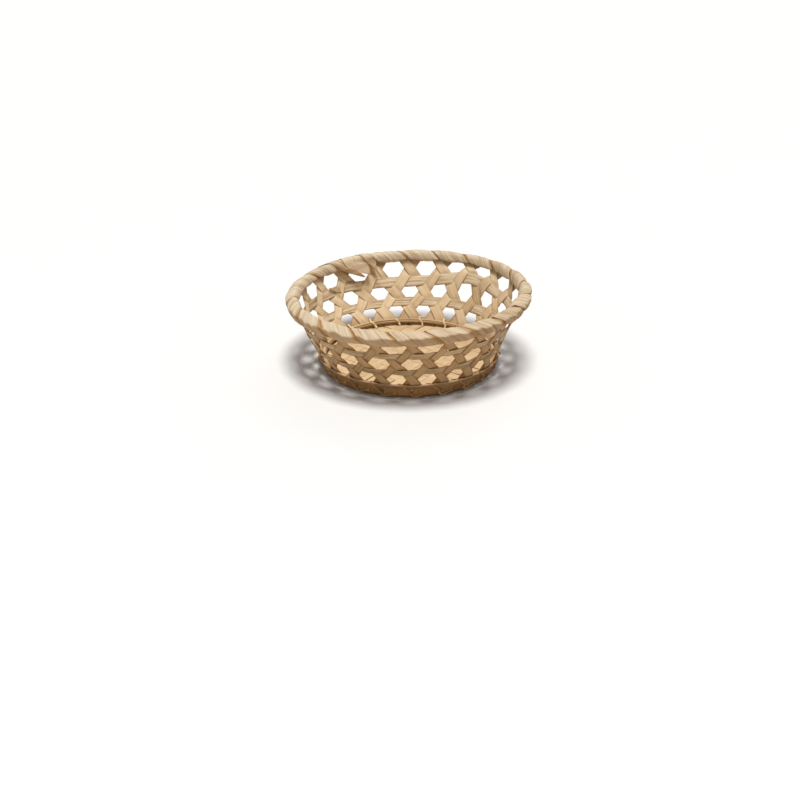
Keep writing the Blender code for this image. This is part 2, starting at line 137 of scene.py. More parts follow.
def smooth_path(points: Array, spacing: float) -> tuple[Array, Array]:
    """Lay a smooth line through points and walk it in even steps.

    Args:
        points: Rows of numbers, of which the first three are a place.
        spacing: Distance between two steps.

    Returns:
        The rows along the line, and how far along it each one lies.
    """
    lengths = np.linalg.norm(np.diff(points[:, :3], axis=0), axis=1)
    knots = np.concatenate(([0.0], np.cumsum(lengths)))
    steps = max(int(knots[-1] / spacing), 2)
    along = np.linspace(0.0, knots[-1], steps + 1)
    columns = []
    for column in points.T:
        columns.append(cubic_through(along, knots, column, middle_slopes(knots, column)))
    return np.stack(columns, axis=1), along


def both_faces(near: Array, far: Array) -> Array:
    """Join the rows of a strip's two faces into loops."""
    return np.concatenate((near, far[:, ::-1]), axis=1)


def grain_of(along: Array, across: Array, seed: int) -> Array:
    """Give each point its way along the fibres, its way across them and a seed."""
    return np.stack((along, across, np.full(across.shape, float(seed))), axis=-1)


def thinned(thickness: float, shares: Array) -> Array:
    """Half of a strip's thickness at each place across it, from -0.5 to 0.5."""
    return thickness / 2.0 * (1.0 - THINNING * np.abs(shares * 2.0) ** THIN_EDGE)


def skin_loops(name: str, loops: Array, grain: Array, shade_and_wear: Array, closed: bool) -> bpy.types.Object:
    """Skin a row of loops into one closed solid.

    Args:
        name: Name of the new piece.
        loops: Points of the loops, as loops by points by three.
        grain: Way along the fibres, way across them and a seed, for each point.
        shade_and_wear: How far the surface is darkened at each point, from 0 to 1: mostly painted shade,
            with some darker edges and tone.
        closed: Whether the last loop meets the first.

    Returns:
        The new piece.
    """
    rows, columns = loops.shape[:2]
    index = np.arange(rows * columns).reshape(rows, columns)
    beside = np.roll(index, -1, axis=1)
    if closed:
        following = (np.roll(beside, -1, axis=0), np.roll(index, -1, axis=0))
        quads = np.stack((index, beside, *following), axis=-1)
    else:
        quads = np.stack((index[:-1], beside[:-1], beside[1:], index[1:]), axis=-1)
    faces = quads.reshape(-1, 4).tolist()
    if not closed:
        faces += [index[0][::-1].tolist(), index[-1].tolist()]
    mesh = bpy.data.meshes.new(name)
    mesh.from_pydata(loops.reshape(-1, 3).tolist(), [], faces)
    data = bmesh.new()
    data.from_mesh(mesh)
    bmesh.ops.recalc_face_normals(data, faces=data.faces)
    data.to_mesh(mesh)
    data.free()
    # The mesh carries how far each point is darkened, mostly by painted shade.
    fibres = mesh.attributes.new("grain", "FLOAT_VECTOR", "POINT")
    fibres.data.foreach_set("vector", grain.reshape(-1).astype(np.float32))
    shade_and_wear_mask = mesh.attributes.new("shade_and_wear", "FLOAT", "POINT")
    shade_and_wear_mask.data.foreach_set("value", shade_and_wear.reshape(-1).astype(np.float32))
    mesh.shade_smooth()
    piece = bpy.data.objects.new(name, mesh)
    bpy.context.scene.collection.objects.link(piece)
    return piece


def settle(piece: bpy.types.Object, material: bpy.types.Material, slot: str, *nodes: str) -> None:
    """Dress a piece and join it to the basket's body, in the place of its solids.

    Args:
        piece: The piece.
        material: Its finish.
        slot: Name of the material slot of its finish, which is only logged.
        *nodes: The solids that it stands for.
    """
    piece.data.materials.append(material)
    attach(piece, BODY)
    if nodes:
        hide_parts(*nodes)
    log.info("%s: %d faces, finish %s", piece.name, len(piece.data.polygons), slot)


class NodeSheet:
    """Short hand for wiring a material's nodes."""

    def __init__(self, name: str) -> None:
        """Start a material with a lone Principled shader.

        Args:
            name: Name of the material.
        """
        self.material = bpy.data.materials.new(name)
        self.material.use_nodes = True
        self.tree = self.material.node_tree
        self.shader = self.tree.nodes["Principled BSDF"]

    def link(self, output: Socket, target: Socket) -> None:
        """Join an output to an input."""
        self.tree.links.new(output, target)

    def attribute(self, name: str, output: str) -> Socket:
        """Read a named attribute of the mesh.

        Args:
            name: Name of the attribute.
            output: Which output of its node is read.

        Returns:
            That output.
        """
        node = self.tree.nodes.new("ShaderNodeAttribute")
        node.attribute_name = name
        return node.outputs[output]

    def scaled(self, vector: Socket, scale: tuple[float, float, float]) -> Socket:
        """Multiply a vector by three numbers.

        Args:
            vector: The vector's output.
            scale: The three numbers.

        Returns:
            The product's output.
        """
        node = self.tree.nodes.new("ShaderNodeVectorMath")
        node.operation = "MULTIPLY"
        node.inputs[1].default_value = scale
        self.link(vector, node.inputs[0])
        return node.outputs["Vector"]

    def noise(self, vector: Socket, detail: float, roughness: float) -> Socket:
        """Read a noise of unit size.

        Args:
            vector: Where the noise is read.
            detail: Octaves of the noise.
            roughness: Strength of the small octaves.

        Returns:
            The noise's output.
        """
        node = self.tree.nodes.new("ShaderNodeTexNoise")
        node.inputs["Scale"].default_value = 1.0
        node.inputs["Detail"].default_value = detail
        node.inputs["Roughness"].default_value = roughness
        self.link(vector, node.inputs["Vector"])
        return node.outputs["Fac"]

    def spread(self, value: Socket, low: float, high: float, to_low: float, to_high: float) -> Socket:
        """Map a range of values to another, with clamped ends.

        Args:
            value: The value's output.
            low: Start of the range.
            high: End of the range.
            to_low: What the start becomes.
            to_high: What the end becomes.

        Returns:
            The mapped value's output.
        """
        node = self.tree.nodes.new("ShaderNodeMapRange")
        node.inputs["From Min"].default_value = low
        node.inputs["From Max"].default_value = high
        node.inputs["To Min"].default_value = to_low
        node.inputs["To Max"].default_value = to_high
        self.link(value, node.inputs["Value"])
        return node.outputs["Result"]

    def sum(self, first: Socket, second: Socket, share: float) -> Socket:
        """Add a share of one value to another.

        Args:
            first: The value that counts in full.
            second: The value that is scaled.
            share: Scale of the second value.

        Returns:
            The sum's output.
        """
        node = self.tree.nodes.new("ShaderNodeMath")
        node.operation = "MULTIPLY_ADD"
        node.inputs[1].default_value = share
        self.link(second, node.inputs[0])
        self.link(first, node.inputs[2])
        return node.outputs["Value"]

    def ramp(self, value: Socket, stops: list[tuple[float, Colour]]) -> Socket:
        """Colour a value by a row of stops.

        Args:
            value: The value's output.
            stops: Position and colour of each stop.

        Returns:
            The colour's output.
        """
        node = self.tree.nodes.new("ShaderNodeValToRGB")
        elements = node.color_ramp.elements
        while len(elements) < len(stops):
            elements.new(1.0)
        for element, (position, colour) in zip(elements, stops):
            element.position = position
            element.color = (*colour, 1.0)
        self.link(value, node.inputs["Fac"])
        return node.outputs["Color"]

    def shaded_and_stained(self, share: Socket, colour: Socket, shade_and_stain: Colour) -> Socket:
        """Multiply a colour by the colour of painted shade and stain.

        Args:
            share: How strong the painted shade and stain are.
            colour: The colour's output.
            shade_and_stain: The colour of the painted shade and stain.

        Returns:
            The darkened colour's output.
        """
        node = self.tree.nodes.new("ShaderNodeMix")
        node.data_type = "RGBA"
        node.blend_type = "MULTIPLY"
        inputs = [socket for socket in node.inputs if socket.type == "RGBA"]
        self.link(colour, inputs[0])
        inputs[1].default_value = (*shade_and_stain, 1.0)
        self.link(share, node.inputs[0])
        return [socket for socket in node.outputs if socket.type == "RGBA"][0]

    def bump(self, height: Socket, depth: float) -> None:
        """Raise the shader's surface by a height.

        Args:
            height: The height's output, of unit size.
            depth: Real depth of the relief.
        """
        node = self.tree.nodes.new("ShaderNodeBump")
        node.inputs["Strength"].default_value = 1.0
        node.inputs["Distance"].default_value = depth
        self.link(height, node.inputs["Height"])
        self.link(node.outputs["Normal"], self.shader.inputs["Normal"])


@dataclass(frozen=True)
class FibreNoise:
    """One layer of a fibre finish's noise.

    Attributes:
        seed_scale: How far apart the layer lies on two pieces.
        detail: Octaves of the layer.
        roughness: Strength of its small octaves.
    """

    seed_scale: float
    detail: float
    roughness: float


FINE_FIBRES = FibreNoise(seed_scale=7.3, detail=3.0, roughness=0.6)
BROAD_STREAKS = FibreNoise(seed_scale=3.1, detail=2.0, roughness=0.5)
SOFT_PATCHES = FibreNoise(seed_scale=5.7, detail=3.0, roughness=0.55)
WHOLE_PIECE = FibreNoise(seed_scale=11.7, detail=0.0, roughness=0.5)
NOISE_LOW = 0.3
NOISE_HIGH = 0.7


@dataclass(frozen=True)
class FibreFinish:
    """Finish of dry split fibre, with long streaks along the grain."""

    name: str
    # Lightest, most and darkest fibres, and the colour that they are multiplied by where shade is painted
    # and where they are darker.
    pale: Colour
    straw: Colour
    brown: Colour
    shade_and_stain: Colour
    # Sizes of fibres and streaks, and how often each layer changes in a fibre's length.
    fibre_width: float = 0.00045
    band_width: float = 0.0024
    fibre_length: float = 0.022
    band_stretch: float = 0.45
    patch_stretch: float = 1.6
    patch_narrow: float = 4.0
    piece_stretch: float = 0.12
    # Depth of the fibres, and the streaks' share of it.
    relief: float = 0.00016
    band_relief: float = 0.8
    # Roughness of the smoothest and the roughest fibres, and reflection.
    smooth: float = 0.42
    rough: float = 0.72
    specular: float = 0.35
    # Strength of each layer in the colour, and the tones that are brown, straw and pale.
    fibre_share: float = 0.55
    band_share: float = 0.45
    patch_share: float = 0.25
    piece_share: float = 0.08
    tones: tuple[float, float, float] = (0.34, 0.48, 0.64)

    def layers(self, sheet: NodeSheet, grain: Socket) -> list[Socket]:
        """Read the layers of noise on the fibres' grain.

        Args:
            sheet: The material's nodes.
            grain: The grain's output.

        Returns:
            Outputs of the fine fibres, broad streaks, soft patches and whole pieces.
        """
        long = 1.0 / self.fibre_length
        scales = (
            (FINE_FIBRES, long, 1.0 / self.fibre_width),
            (BROAD_STREAKS, long * self.band_stretch, 1.0 / self.band_width),
            (SOFT_PATCHES, long * self.patch_stretch, long * self.patch_narrow),
            (WHOLE_PIECE, long * self.piece_stretch, 0.0),
        )
        outputs = []
        for noise, along, across in scales:
            scaled = sheet.scaled(grain, (along, across, noise.seed_scale))
            outputs.append(sheet.noise(scaled, noise.detail, noise.roughness))
        return outputs

    def material(self) -> bpy.types.Material:
        """Build the material.

        Returns:
            The new material.
        """
        sheet = NodeSheet(self.name)
        grain = sheet.attribute("grain", "Vector")
        shade_and_wear = sheet.attribute("shade_and_wear", "Fac")
        fibres, bands, patches, whole = self.layers(sheet, grain)
        centre = 0.5 - (self.fibre_share + self.band_share + self.patch_share) / 2.0
        dark, light = centre - self.piece_share, centre + self.piece_share
        tone = sheet.spread(whole, NOISE_LOW, NOISE_HIGH, dark, light)
        tone = sheet.sum(tone, fibres, self.fibre_share)
        tone = sheet.sum(tone, bands, self.band_share)
        tone = sheet.sum(tone, patches, self.patch_share)
        colour = sheet.ramp(tone, list(zip(self.tones, (self.brown, self.straw, self.pale))))
        # Painted shade: the mesh's darkening value pulls the colour towards the shade colour.
        sheet.link(sheet.shaded_and_stained(shade_and_wear, colour, self.shade_and_stain), sheet.shader.inputs["Base Color"])
        roughness = sheet.spread(fibres, NOISE_LOW, NOISE_HIGH, self.rough, self.smooth)
        sheet.link(roughness, sheet.shader.inputs["Roughness"])
        sheet.bump(sheet.sum(fibres, bands, self.band_relief), self.relief)
        sheet.shader.inputs["Specular IOR Level"].default_value = self.specular
        return sheet.material


@dataclass(frozen=True)
class Palette:
    """Every finish of the basket."""

    # The shade_and_stain colour of each finish is what its painted shade darkens towards.
    strip: FibreFinish = FibreFinish(
        name="split_strip",
        pale=(0.86, 0.69, 0.465),
        straw=(0.735, 0.56, 0.345),
        brown=(0.49, 0.335, 0.17),
        shade_and_stain=(0.46, 0.285, 0.115),
        fibre_share=0.42,
        band_share=0.38,
        patch_share=0.18,
        relief=0.00007,
    )
    ring: FibreFinish = FibreFinish(
        name="ring_strip",
        pale=(0.86, 0.71, 0.50),
        straw=(0.65, 0.50, 0.31),
        brown=(0.38, 0.25, 0.125),
        shade_and_stain=(0.545, 0.37, 0.17),
        fibre_width=0.0006,
        band_width=0.0016,
        fibre_share=0.75,
        band_share=0.6,
        relief=0.00040,
    )
    hoop: FibreFinish = FibreFinish(
        name="shaved_cane",
        pale=(0.60, 0.43, 0.24),
        straw=(0.46, 0.305, 0.15),
        brown=(0.28, 0.16, 0.07),
        shade_and_stain=(0.43, 0.235, 0.08),
        fibre_width=0.00045,
        band_width=0.0012,
        fibre_share=0.75,
        band_share=0.6,
        relief=0.00030,
    )
    leaf: FibreFinish = FibreFinish(
        name="wound_leaf",
        pale=(0.74, 0.63, 0.465),
        straw=(0.645, 0.52, 0.355),
        brown=(0.46, 0.33, 0.18),
        shade_and_stain=(0.55, 0.33, 0.13),
        fibre_width=0.0008,
        band_width=0.0030,
        fibre_length=0.030,
        fibre_share=0.65,
        band_share=0.6,
        relief=0.00035,
        smooth=0.5,
        rough=0.8,
    )
    strand: FibreFinish = FibreFinish(
        name="sewing_strand",
        pale=(0.80, 0.63, 0.39),
        straw=(0.70, 0.52, 0.29),
        brown=(0.50, 0.33, 0.15),
        shade_and_stain=(0.42, 0.24, 0.09),
        fibre_width=0.00025,
        band_width=0.0007,
    )


@dataclass(frozen=True)
class Hump:
    """A soft hump of the wall, where a handmade basket departs from a regular one.

    Attributes:
        side: Azimuth of the hump's top.
        height: Height of the hump's top.
        reach: How far up and down it reaches.
        focus: How narrow it is round the basket.
        amount: How far the wall departs at its top.
    """

    side: float
    height: float
    reach: float
    focus: float
    amount: float

    def at(self, azimuth: Array, height: Array) -> Array:
        """How far the wall departs at a place."""
        around = np.clip(np.cos(azimuth - self.side), 0.0, 1.0) ** self.focus
        return self.amount * around * np.exp(-(((height - self.height) / self.reach) ** 2))


@dataclass(frozen=True)
class SheetShape:
    """Middle surface of the woven sheet, as a section turned about the axis.

    A place on it is a run, which is the way from the floor's centre along the
    section, an azimuth, and a lift towards the inside of the basket.
    """

    # Middle of the rim, and middle of the base hoops.
    rim_radius: float = 0.104
    rim_height: float = 0.066
    base_radius: float = 0.0793
    base_height: float = 0.0095
    # How far the wall's middle lies inside a straight line.
    wall_hollow: float = 0.0009
    # The floor, the radius where it starts to dip, the foot's flat, and the section's end.
    floor_height: float = 0.0064
    floor_edge: float = 0.0740
    foot_radius: float = 0.0751
    foot_width: float = 0.0013
    foot_level: float = 0.0006
    top_height: float = 0.0708
    # How much the upper basket rises for each metre to the right, and between which heights.
    lean_rise: float = 0.030
    lean_low: float = 0.012
    lean_high: float = 0.034
    # Humps that move the wall outwards, and up: a sag behind, and places that ride up.
    bulges: tuple[Hump, ...] = (
        Hump(side=math.radians(152.0), height=0.038, reach=0.018, focus=2.0, amount=0.0022),
    )
    rides: tuple[Hump, ...] = (
        Hump(side=math.radians(97.0), height=0.036, reach=0.017, focus=2.0, amount=-0.0028),
        Hump(side=math.radians(51.0), height=0.048, reach=0.0105, focus=17.0, amount=0.0084),
        Hump(side=math.radians(128.0), height=0.045, reach=0.011, focus=45.0, amount=0.0015),
    )
    # How far the weave's top is pushed round on one side, between which heights, and where.
    shear: float = math.radians(3.4)
    shear_low: float = 0.026
    shear_high: float = 0.050
    shear_side: float = math.radians(131.0)
    shear_focus: float = 13.0
    # Turn of the whole weave, and how much closer it lies on the right than on the left.
    twist: float = math.radians(0.6)
    squeeze: float = math.radians(1.3)
    # Dip to the foot and rise from it, as shares of the base's radius and of the heights.
    floor_slope_shares: tuple[Shares, ...] = ((0.939, 0.84), (0.943, 0.25))
    foot_rise_shares: tuple[Shares, ...] = ((0.984, 0.2), (0.995, 0.526))
    # Steps of the wall's section, and how its corners are cut.
    wall_steps: int = 40
    corner_cut: float = 0.25
    softenings: int = 3

    def wall_radius(self, height: Array) -> Array:
        """Find the radius of the wall.

        Args:
            height: Heights of the places.

        Returns:
            The radii.
        """
        share = (height - self.base_height) / (self.rim_height - self.base_height)
        straight = self.base_radius + (self.rim_radius - self.base_radius) * share
        return straight - 4.0 * self.wall_hollow * share * (1.0 - share)

    def __post_init__(self) -> None:
        """Work out the softened section, its runs and its inward directions."""
        points = [(0.0, self.floor_height), (self.floor_edge, self.floor_height)]
        for radius_share, height_share in self.floor_slope_shares:
            points.append((self.base_radius * radius_share, self.floor_height * height_share))
        points.append((self.foot_radius, self.foot_level))
        points.append((self.foot_radius + self.foot_width, self.foot_level))
        for radius_share, height_share in self.foot_rise_shares:
            points.append((self.base_radius * radius_share, self.base_height * height_share))
        heights = np.linspace(self.base_height, self.top_height, self.wall_steps + 1)
        points += list(zip(self.wall_radius(heights), heights))
        section = np.array(points)
        for _ in range(self.softenings):
            first = section[:-1] * (1.0 - self.corner_cut) + section[1:] * self.corner_cut
            second = section[:-1] * self.corner_cut + section[1:] * (1.0 - self.corner_cut)
            cut = np.stack((first, second), axis=1).reshape(-1, 2)
            section = np.vstack((section[:1], cut, section[-1:]))
        lengths = np.linalg.norm(np.diff(section, axis=0), axis=1)
        runs = np.concatenate(([0.0], np.cumsum(lengths)))
        along = np.gradient(section, runs, axis=0)
        along /= np.linalg.norm(along, axis=1, keepdims=True)
        object.__setattr__(self, "section", section)
        object.__setattr__(self, "runs", runs)
        object.__setattr__(self, "inward", np.stack((-along[:, 1], along[:, 0]), axis=1))

    def radius(self, run: Array) -> Array:
        """Radius of the sheet at a run."""
        return np.interp(run, self.runs, self.section[:, 0])

    def run_at_height(self, height: float) -> float:
        """Run of the place on the rising wall at a height."""
        lowest = int(np.argmin(self.section[:, 1]))
        return float(np.interp(height, self.section[lowest:, 1], self.runs[lowest:]))

    def run_at_radius(self, radius: float) -> float:
        """Run of the place on the floor at a radius."""
        lowest = int(np.argmin(self.section[:, 1]))
        return float(np.interp(radius, self.section[:lowest, 0], self.runs[:lowest]))

    def lifted(self, run: Array, lift: Array) -> tuple[Array, Array]:
        """Find the radius and height of a place that stands off the sheet.

        Args:
            run: Runs of the places.
            lift: How far each place stands off towards the inside.

        Returns:
            The radii and the heights.
        """
        radius = np.interp(run, self.runs, self.section[:, 0])
        height = np.interp(run, self.runs, self.section[:, 1])
        radius = radius + lift * np.interp(run, self.runs, self.inward[:, 0])
        height = height + lift * np.interp(run, self.runs, self.inward[:, 1])
        return radius, height

    def handmade(self, points: Array) -> Array:
        """Make a regular basket a little uneven, as hands and use make it.

        Args:
            points: Points of the regular basket.

        Returns:
            The points of the uneven one.
        """
        radius = np.hypot(points[..., 0], points[..., 1])
        azimuth = np.arctan2(points[..., 1], points[..., 0])
        height = points[..., 2]
        moved = azimuth + self.twist - self.squeeze * np.sin(azimuth)
        radius = radius + sum(hump.at(moved, height) for hump in self.bulges)
        across = radius * np.cos(moved)
        share = smooth_step((height - self.lean_low) / (self.lean_high - self.lean_low))
        ridden = sum(hump.at(moved, height) for hump in self.rides)
        level = height + self.lean_rise * across * share + ridden
        return np.stack((across, radius * np.sin(moved), level), axis=-1)

    def place(self, run: Array, azimuth: Array, lift: Array) -> Array:
        """Find points in space.

        Args:
            run: Runs of the places.
            azimuth: Azimuths of the places.
            lift: How far each place stands off towards the inside.

        Returns:
            The points, with three numbers each.
        """
        radius, height = self.lifted(run, lift)
        pushed = smooth_step((height - self.shear_low) / (self.shear_high - self.shear_low))
        pushed = pushed * np.clip(np.cos(azimuth - self.shear_side), 0.0, 1.0) ** self.shear_focus
        azimuth = azimuth + self.shear * pushed
        points = np.stack((radius * np.cos(azimuth), radius * np.sin(azimuth), height), axis=-1)
        return self.handmade(points)


@dataclass(frozen=True)
class WeavePlan:
    """Counts, angles and levels that every woven piece follows."""

    sheet: SheetShape
    # Hexagons round the basket.
    hexagons: int = 20
    # Heights of the lowest crossing of the leaning ends and of both rings.
    first_crossing_height: float = 0.0195
    lower_ring_height: float = 0.028
    upper_ring_height: float = 0.046
    # Azimuth of one of the lowest crossings.
    first_crossing_angle: float = RIGHT_ANGLE
    # Share of the base's radius up to which the strips run straight.
    bend_share: float = 0.902
    # How far the two ends of a pair lie towards each other at the foot.
    foot_gather: float = math.radians(0.25)

    @property
    def hexagon_angle(self) -> float:
        """Angle from one hexagon to the next."""
        return TAU / self.hexagons

    @property
    def end_angle(self) -> float:
        """Angle from one strip end to the next at the foot."""
        return self.hexagon_angle / 2.0

    @property
    def level_angle(self) -> float:
        """Sideways travel of a strip end from one level to the next."""
        return self.hexagon_angle / 4.0

    @property
    def strips_each_way(self) -> int:
        """Long strips in each family."""
        return self.hexagons // 2

    @property
    def floor_turn(self) -> float:
        """Direction of the first family on the floor."""
        return self.first_crossing_angle - 2.0 * self.hexagon_angle

    @property
    def levels(self) -> Array:
        """Find the levels of the crossings and rings.

        Returns:
            Their runs, from the lowest crossing to the rim.
        """
        heights = (
            self.first_crossing_height,
            self.lower_ring_height,
            (self.lower_ring_height + self.upper_ring_height) / 2.0,
            self.upper_ring_height,
            (self.upper_ring_height + self.sheet.rim_height) / 2.0,
            self.sheet.rim_height,
        )
        return np.array([self.sheet.run_at_height(height) for height in heights])

    @property
    def shoulder(self) -> float:
        """Run where the strip ends stand upright above the foot."""
        height_share = self.sheet.foot_rise_shares[-1][1]
        return self.sheet.run_at_height(self.sheet.base_height * height_share)

    @property
    def bend_start(self) -> float:
        """Run where the strips leave their straight way over the floor."""
        return self.sheet.run_at_radius(self.sheet.base_radius * self.bend_share)

    @property
    def strip_pitch(self) -> float:
        """Distance between two strips of a family on the floor."""
        outermost = self.end_angle * (self.strips_each_way - 1) / 2.0
        return self.bend_start * math.sin(outermost) * 2.0 / (self.strips_each_way - 1)


class Family(Enum):
    """The two directions of the long strips on the floor."""

    FIRST = "a"
    SECOND = "b"

    def direction(self, plan: WeavePlan) -> float:
        """Azimuth in which the family's strips run."""
        return plan.floor_turn + (RIGHT_ANGLE if self is Family.SECOND else 0.0)


@dataclass(frozen=True)
class StripEnd:
    """One half of a long strip, from the floor's middle line out to the rim."""

    plan: WeavePlan
    # Azimuth in which the half runs on the floor, and its place among such strips.
    direction: float
    index: int

    @property
    def offset(self) -> float:
        """Distance of the strip from the floor's centre."""
        return (self.index - (self.plan.strips_each_way - 1) / 2.0) * self.plan.strip_pitch

    @property
    def lean(self) -> float:
        """1 where the end leans to greater azimuths on its way up, and -1 where not."""
        return 1.0 if self.index % 2 == 0 else -1.0

    @property
    def end_azimuth(self) -> float:
        """Azimuth of the end where it stands upright above the foot."""
        middle = (self.plan.strips_each_way - 1) / 2.0
        return self.direction + (self.index - middle) * self.plan.end_angle

    def azimuth(self, run: Array) -> Array:
        """Find the azimuth of the end's middle line beyond the flat floor.

        Args:
            run: Runs of the places.

        Returns:
            The azimuths.
        """
        plan = self.plan
        start = plan.bend_start
        start_azimuth = self.direction + math.asin(self.offset / start)
        start_slope = -self.offset / (start * math.sqrt(start**2 - self.offset**2))
        levels = plan.levels
        knots = np.concatenate(([start, plan.shoulder], levels))
        steps = self.lean * plan.level_angle * (1.0 + np.arange(len(levels)))
        gathered = self.end_azimuth - self.lean * plan.foot_gather
        azimuths = np.concatenate(([start_azimuth, gathered], self.end_azimuth + steps))
        slopes = middle_slopes(knots, azimuths)
        slopes[0] = start_slope
        slopes[1] = 0.0
        return cubic_through(run, knots, azimuths, slopes)


@dataclass
class LongStrips:
    """The twenty long strips of the floor and the wall."""

    plan: WeavePlan
    finish: FibreFinish
    # Thickness, and how far a strip stands off where it passes another.
    thickness: float = 0.00048
    weave_lift: float = 0.00040
    # Widths from the floor to the rim, and how much wider they are behind.
    floor_width: float = 0.0100
    edge_width: float = 0.0132
    foot_width: float = 0.0136
    base_width: float = 0.0097
    lower_width: float = 0.0085
    upper_width: float = 0.0085
    rim_width: float = 0.0082
    back_width: float = 0.0010
    # Share of the base's height up to which the foot's width lasts.
    gather_share: float = 0.72
    # Shares of the lift that the floor lacks, and that is left round the foot.
    floor_calm: float = 0.3
    foot_share: float = 0.6
    # Distance between two stations, and from a tip to the end of the sheet.
    step: float = 0.0012
    tip_margin: float = 0.0034
    # How soon a strip changes sides in the wall and on the floor, and a lift fades.
    change_reach: float = 0.0011
    floor_change: float = 2.6
    fade_reach: float = 0.0022
    # How much and how often a strip's width, line and face wander.
    width_wander: float = 0.00035
    width_step: float = 0.021
    floor_wander: float = 0.25
    line_wander: float = 0.0003
    line_step: float = 0.019
    camber: float = 0.00018
    crown_step: float = 0.035
    tilt_step: float = 0.03
    # Darkening: painted shade on the outer face, whose skin is also browner; a darker floor; painted shade
    # on the foot, below the rim and where a strip passes under another; and darker edges, partly painted
    # contact shade and partly the darker cut edge.
    outer_shade_tone: float = 0.80
    floor_tone: float = 0.36
    foot_shade: float = 0.38
    under_rim_shade: float = 0.45
    tuck_shade: float = 0.2
    floor_edge_tone: float = 0.25
    wall_edge_tone: float = 0.40
    across_steps: int = 10
    seed: int = 40

    def width(self, run: Array) -> Array:
        """Find the width of a strip.

        Args:
            run: Runs of the places.

        Returns:
            The widths.
        """
        plan = self.plan
        edge = plan.sheet.run_at_radius(plan.sheet.floor_edge)
        gathered = plan.sheet.run_at_height(plan.sheet.base_height * self.gather_share)
        hidden = plan.sheet.run_at_height(plan.sheet.base_height)
        places = (
            (plan.bend_start, self.floor_width),
            (edge, self.edge_width),
            (gathered, self.foot_width),
            (hidden, self.base_width),
            (plan.levels[1], self.lower_width),
            (plan.levels[3], self.upper_width),
            (plan.levels[5], self.rim_width),
        )
        return np.interp(run, [place[0] for place in places], [place[1] for place in places])

    def change(self, end: StripEnd, crossing: float, ring: float) -> tuple[float, float]:
        """Find the place where an end changes sides between two levels.

        Args:
            end: The strip end.
            crossing: Run of the level where two ends cross.
            ring: Run of the level of a ring.

        Returns:
            The run of the change, and how far it slants across the strip.
        """
        span = abs(ring - crossing)
        radius = float(self.plan.sheet.radius((ring + crossing) / 2.0))
        lean_angle = math.atan(radius * self.plan.level_angle / span)
        share = 1.0 / (1.0 + 2.0 * math.sin(lean_angle))
        skew = math.cos(2.0 * lean_angle) - math.sin(lean_angle)
        skew /= math.sin(2.0 * lean_angle) + math.cos(lean_angle)
        return crossing + (ring - crossing) * share, -end.lean * skew

    def half_line(self, end: StripEnd) -> tuple[Array, Array]:
        """Lay the middle line of one half.

        Args:
            end: The strip end.

        Returns:
            The runs and azimuths of the line, from the floor's middle outwards.
        """
        plan = self.plan
        reach = math.sqrt(plan.bend_start**2 - end.offset**2)
        floor = np.linspace(0.0, reach, int(reach / self.step) + 1)
        runs = np.hypot(floor, end.offset)
        azimuths = end.direction + np.arctan2(end.offset, floor)
        tip = float(plan.sheet.runs[-1]) - self.tip_margin
        count = int((tip - plan.bend_start) / self.step)
        rising = np.linspace(plan.bend_start, tip, count + 1)[1:]
        return np.concatenate((runs, rising)), np.concatenate((azimuths, end.azimuth(rising)))

    def leave_run(self, end: StripEnd) -> float:
        """Find where an end has left the floor's last crossing.

        Args:
            end: The strip end.

        Returns:
            The run of that place.
        """
        half = self.floor_width / 2.0
        last = self.plan.strip_pitch * (self.plan.strips_each_way - 1) / 2.0
        return math.hypot(last + half, abs(end.offset) + half)

    def floor_lift(self, end: StripEnd, runs: Array, floor_way: Array) -> Array:
        """Find how far the strip stands off the floor, as a share of the weave's lift.

        Args:
            end: The strip end.
            runs: Run of each point.
            floor_way: How far each point lies along the strip's way on the floor.

        Returns:
            The share at each point.
        """
        plan = self.plan
        start_sign = 1.0 if (end.index + plan.strips_each_way // 2) % 2 == 0 else -1.0
        wave = np.tanh(self.floor_change * np.sin(math.pi * floor_way / plan.strip_pitch))
        floor = start_sign * wave * (1.0 - smooth_step((runs - self.leave_run(end)) / self.fade_reach))
        return floor * (1.0 - self.floor_calm)

    def wall_lift(
        self, end: StripEnd, runs: Array, along: Array, across: Array, middle_runs: Array
    ) -> Array:
        """Find how far the strip stands off the wall, as a share of the weave's lift.

        Args:
            end: The strip end.
            runs: Run of each point.
            along: Length of the strip up to each point's station.
            across: How far each point lies to the side of the middle line.
            middle_runs: Run of each station's middle.

        Returns:
            The share at each point.
        """
        plan = self.plan
        levels = plan.levels
        wall = np.full(runs.shape, end.lean)
        for crossing, ring in ((0, 1), (2, 1), (2, 3), (4, 3)):
            run, skew = self.change(end, levels[crossing], levels[ring])
            way = float(np.interp(run, middle_runs, along[:, 0]))
            wall = wall * -np.tanh((along - way - skew * across) / self.change_reach)
        turn = plan.level_angle / (levels[1] - levels[0])
        slope = float(plan.sheet.radius(levels[0])) * turn
        clear = self.lower_width * math.sqrt(1.0 + slope * slope) / (2.0 * slope)
        rising = smooth_step((runs - (levels[0] - clear - self.fade_reach)) / self.fade_reach)
        turning = smooth_step((runs - self.leave_run(end) - self.fade_reach) / self.fade_reach)
        wall = wall * np.maximum(rising, self.foot_share * turning)
        return wall * (1.0 - smooth_step((runs - (levels[4] + clear)) / self.fade_reach))

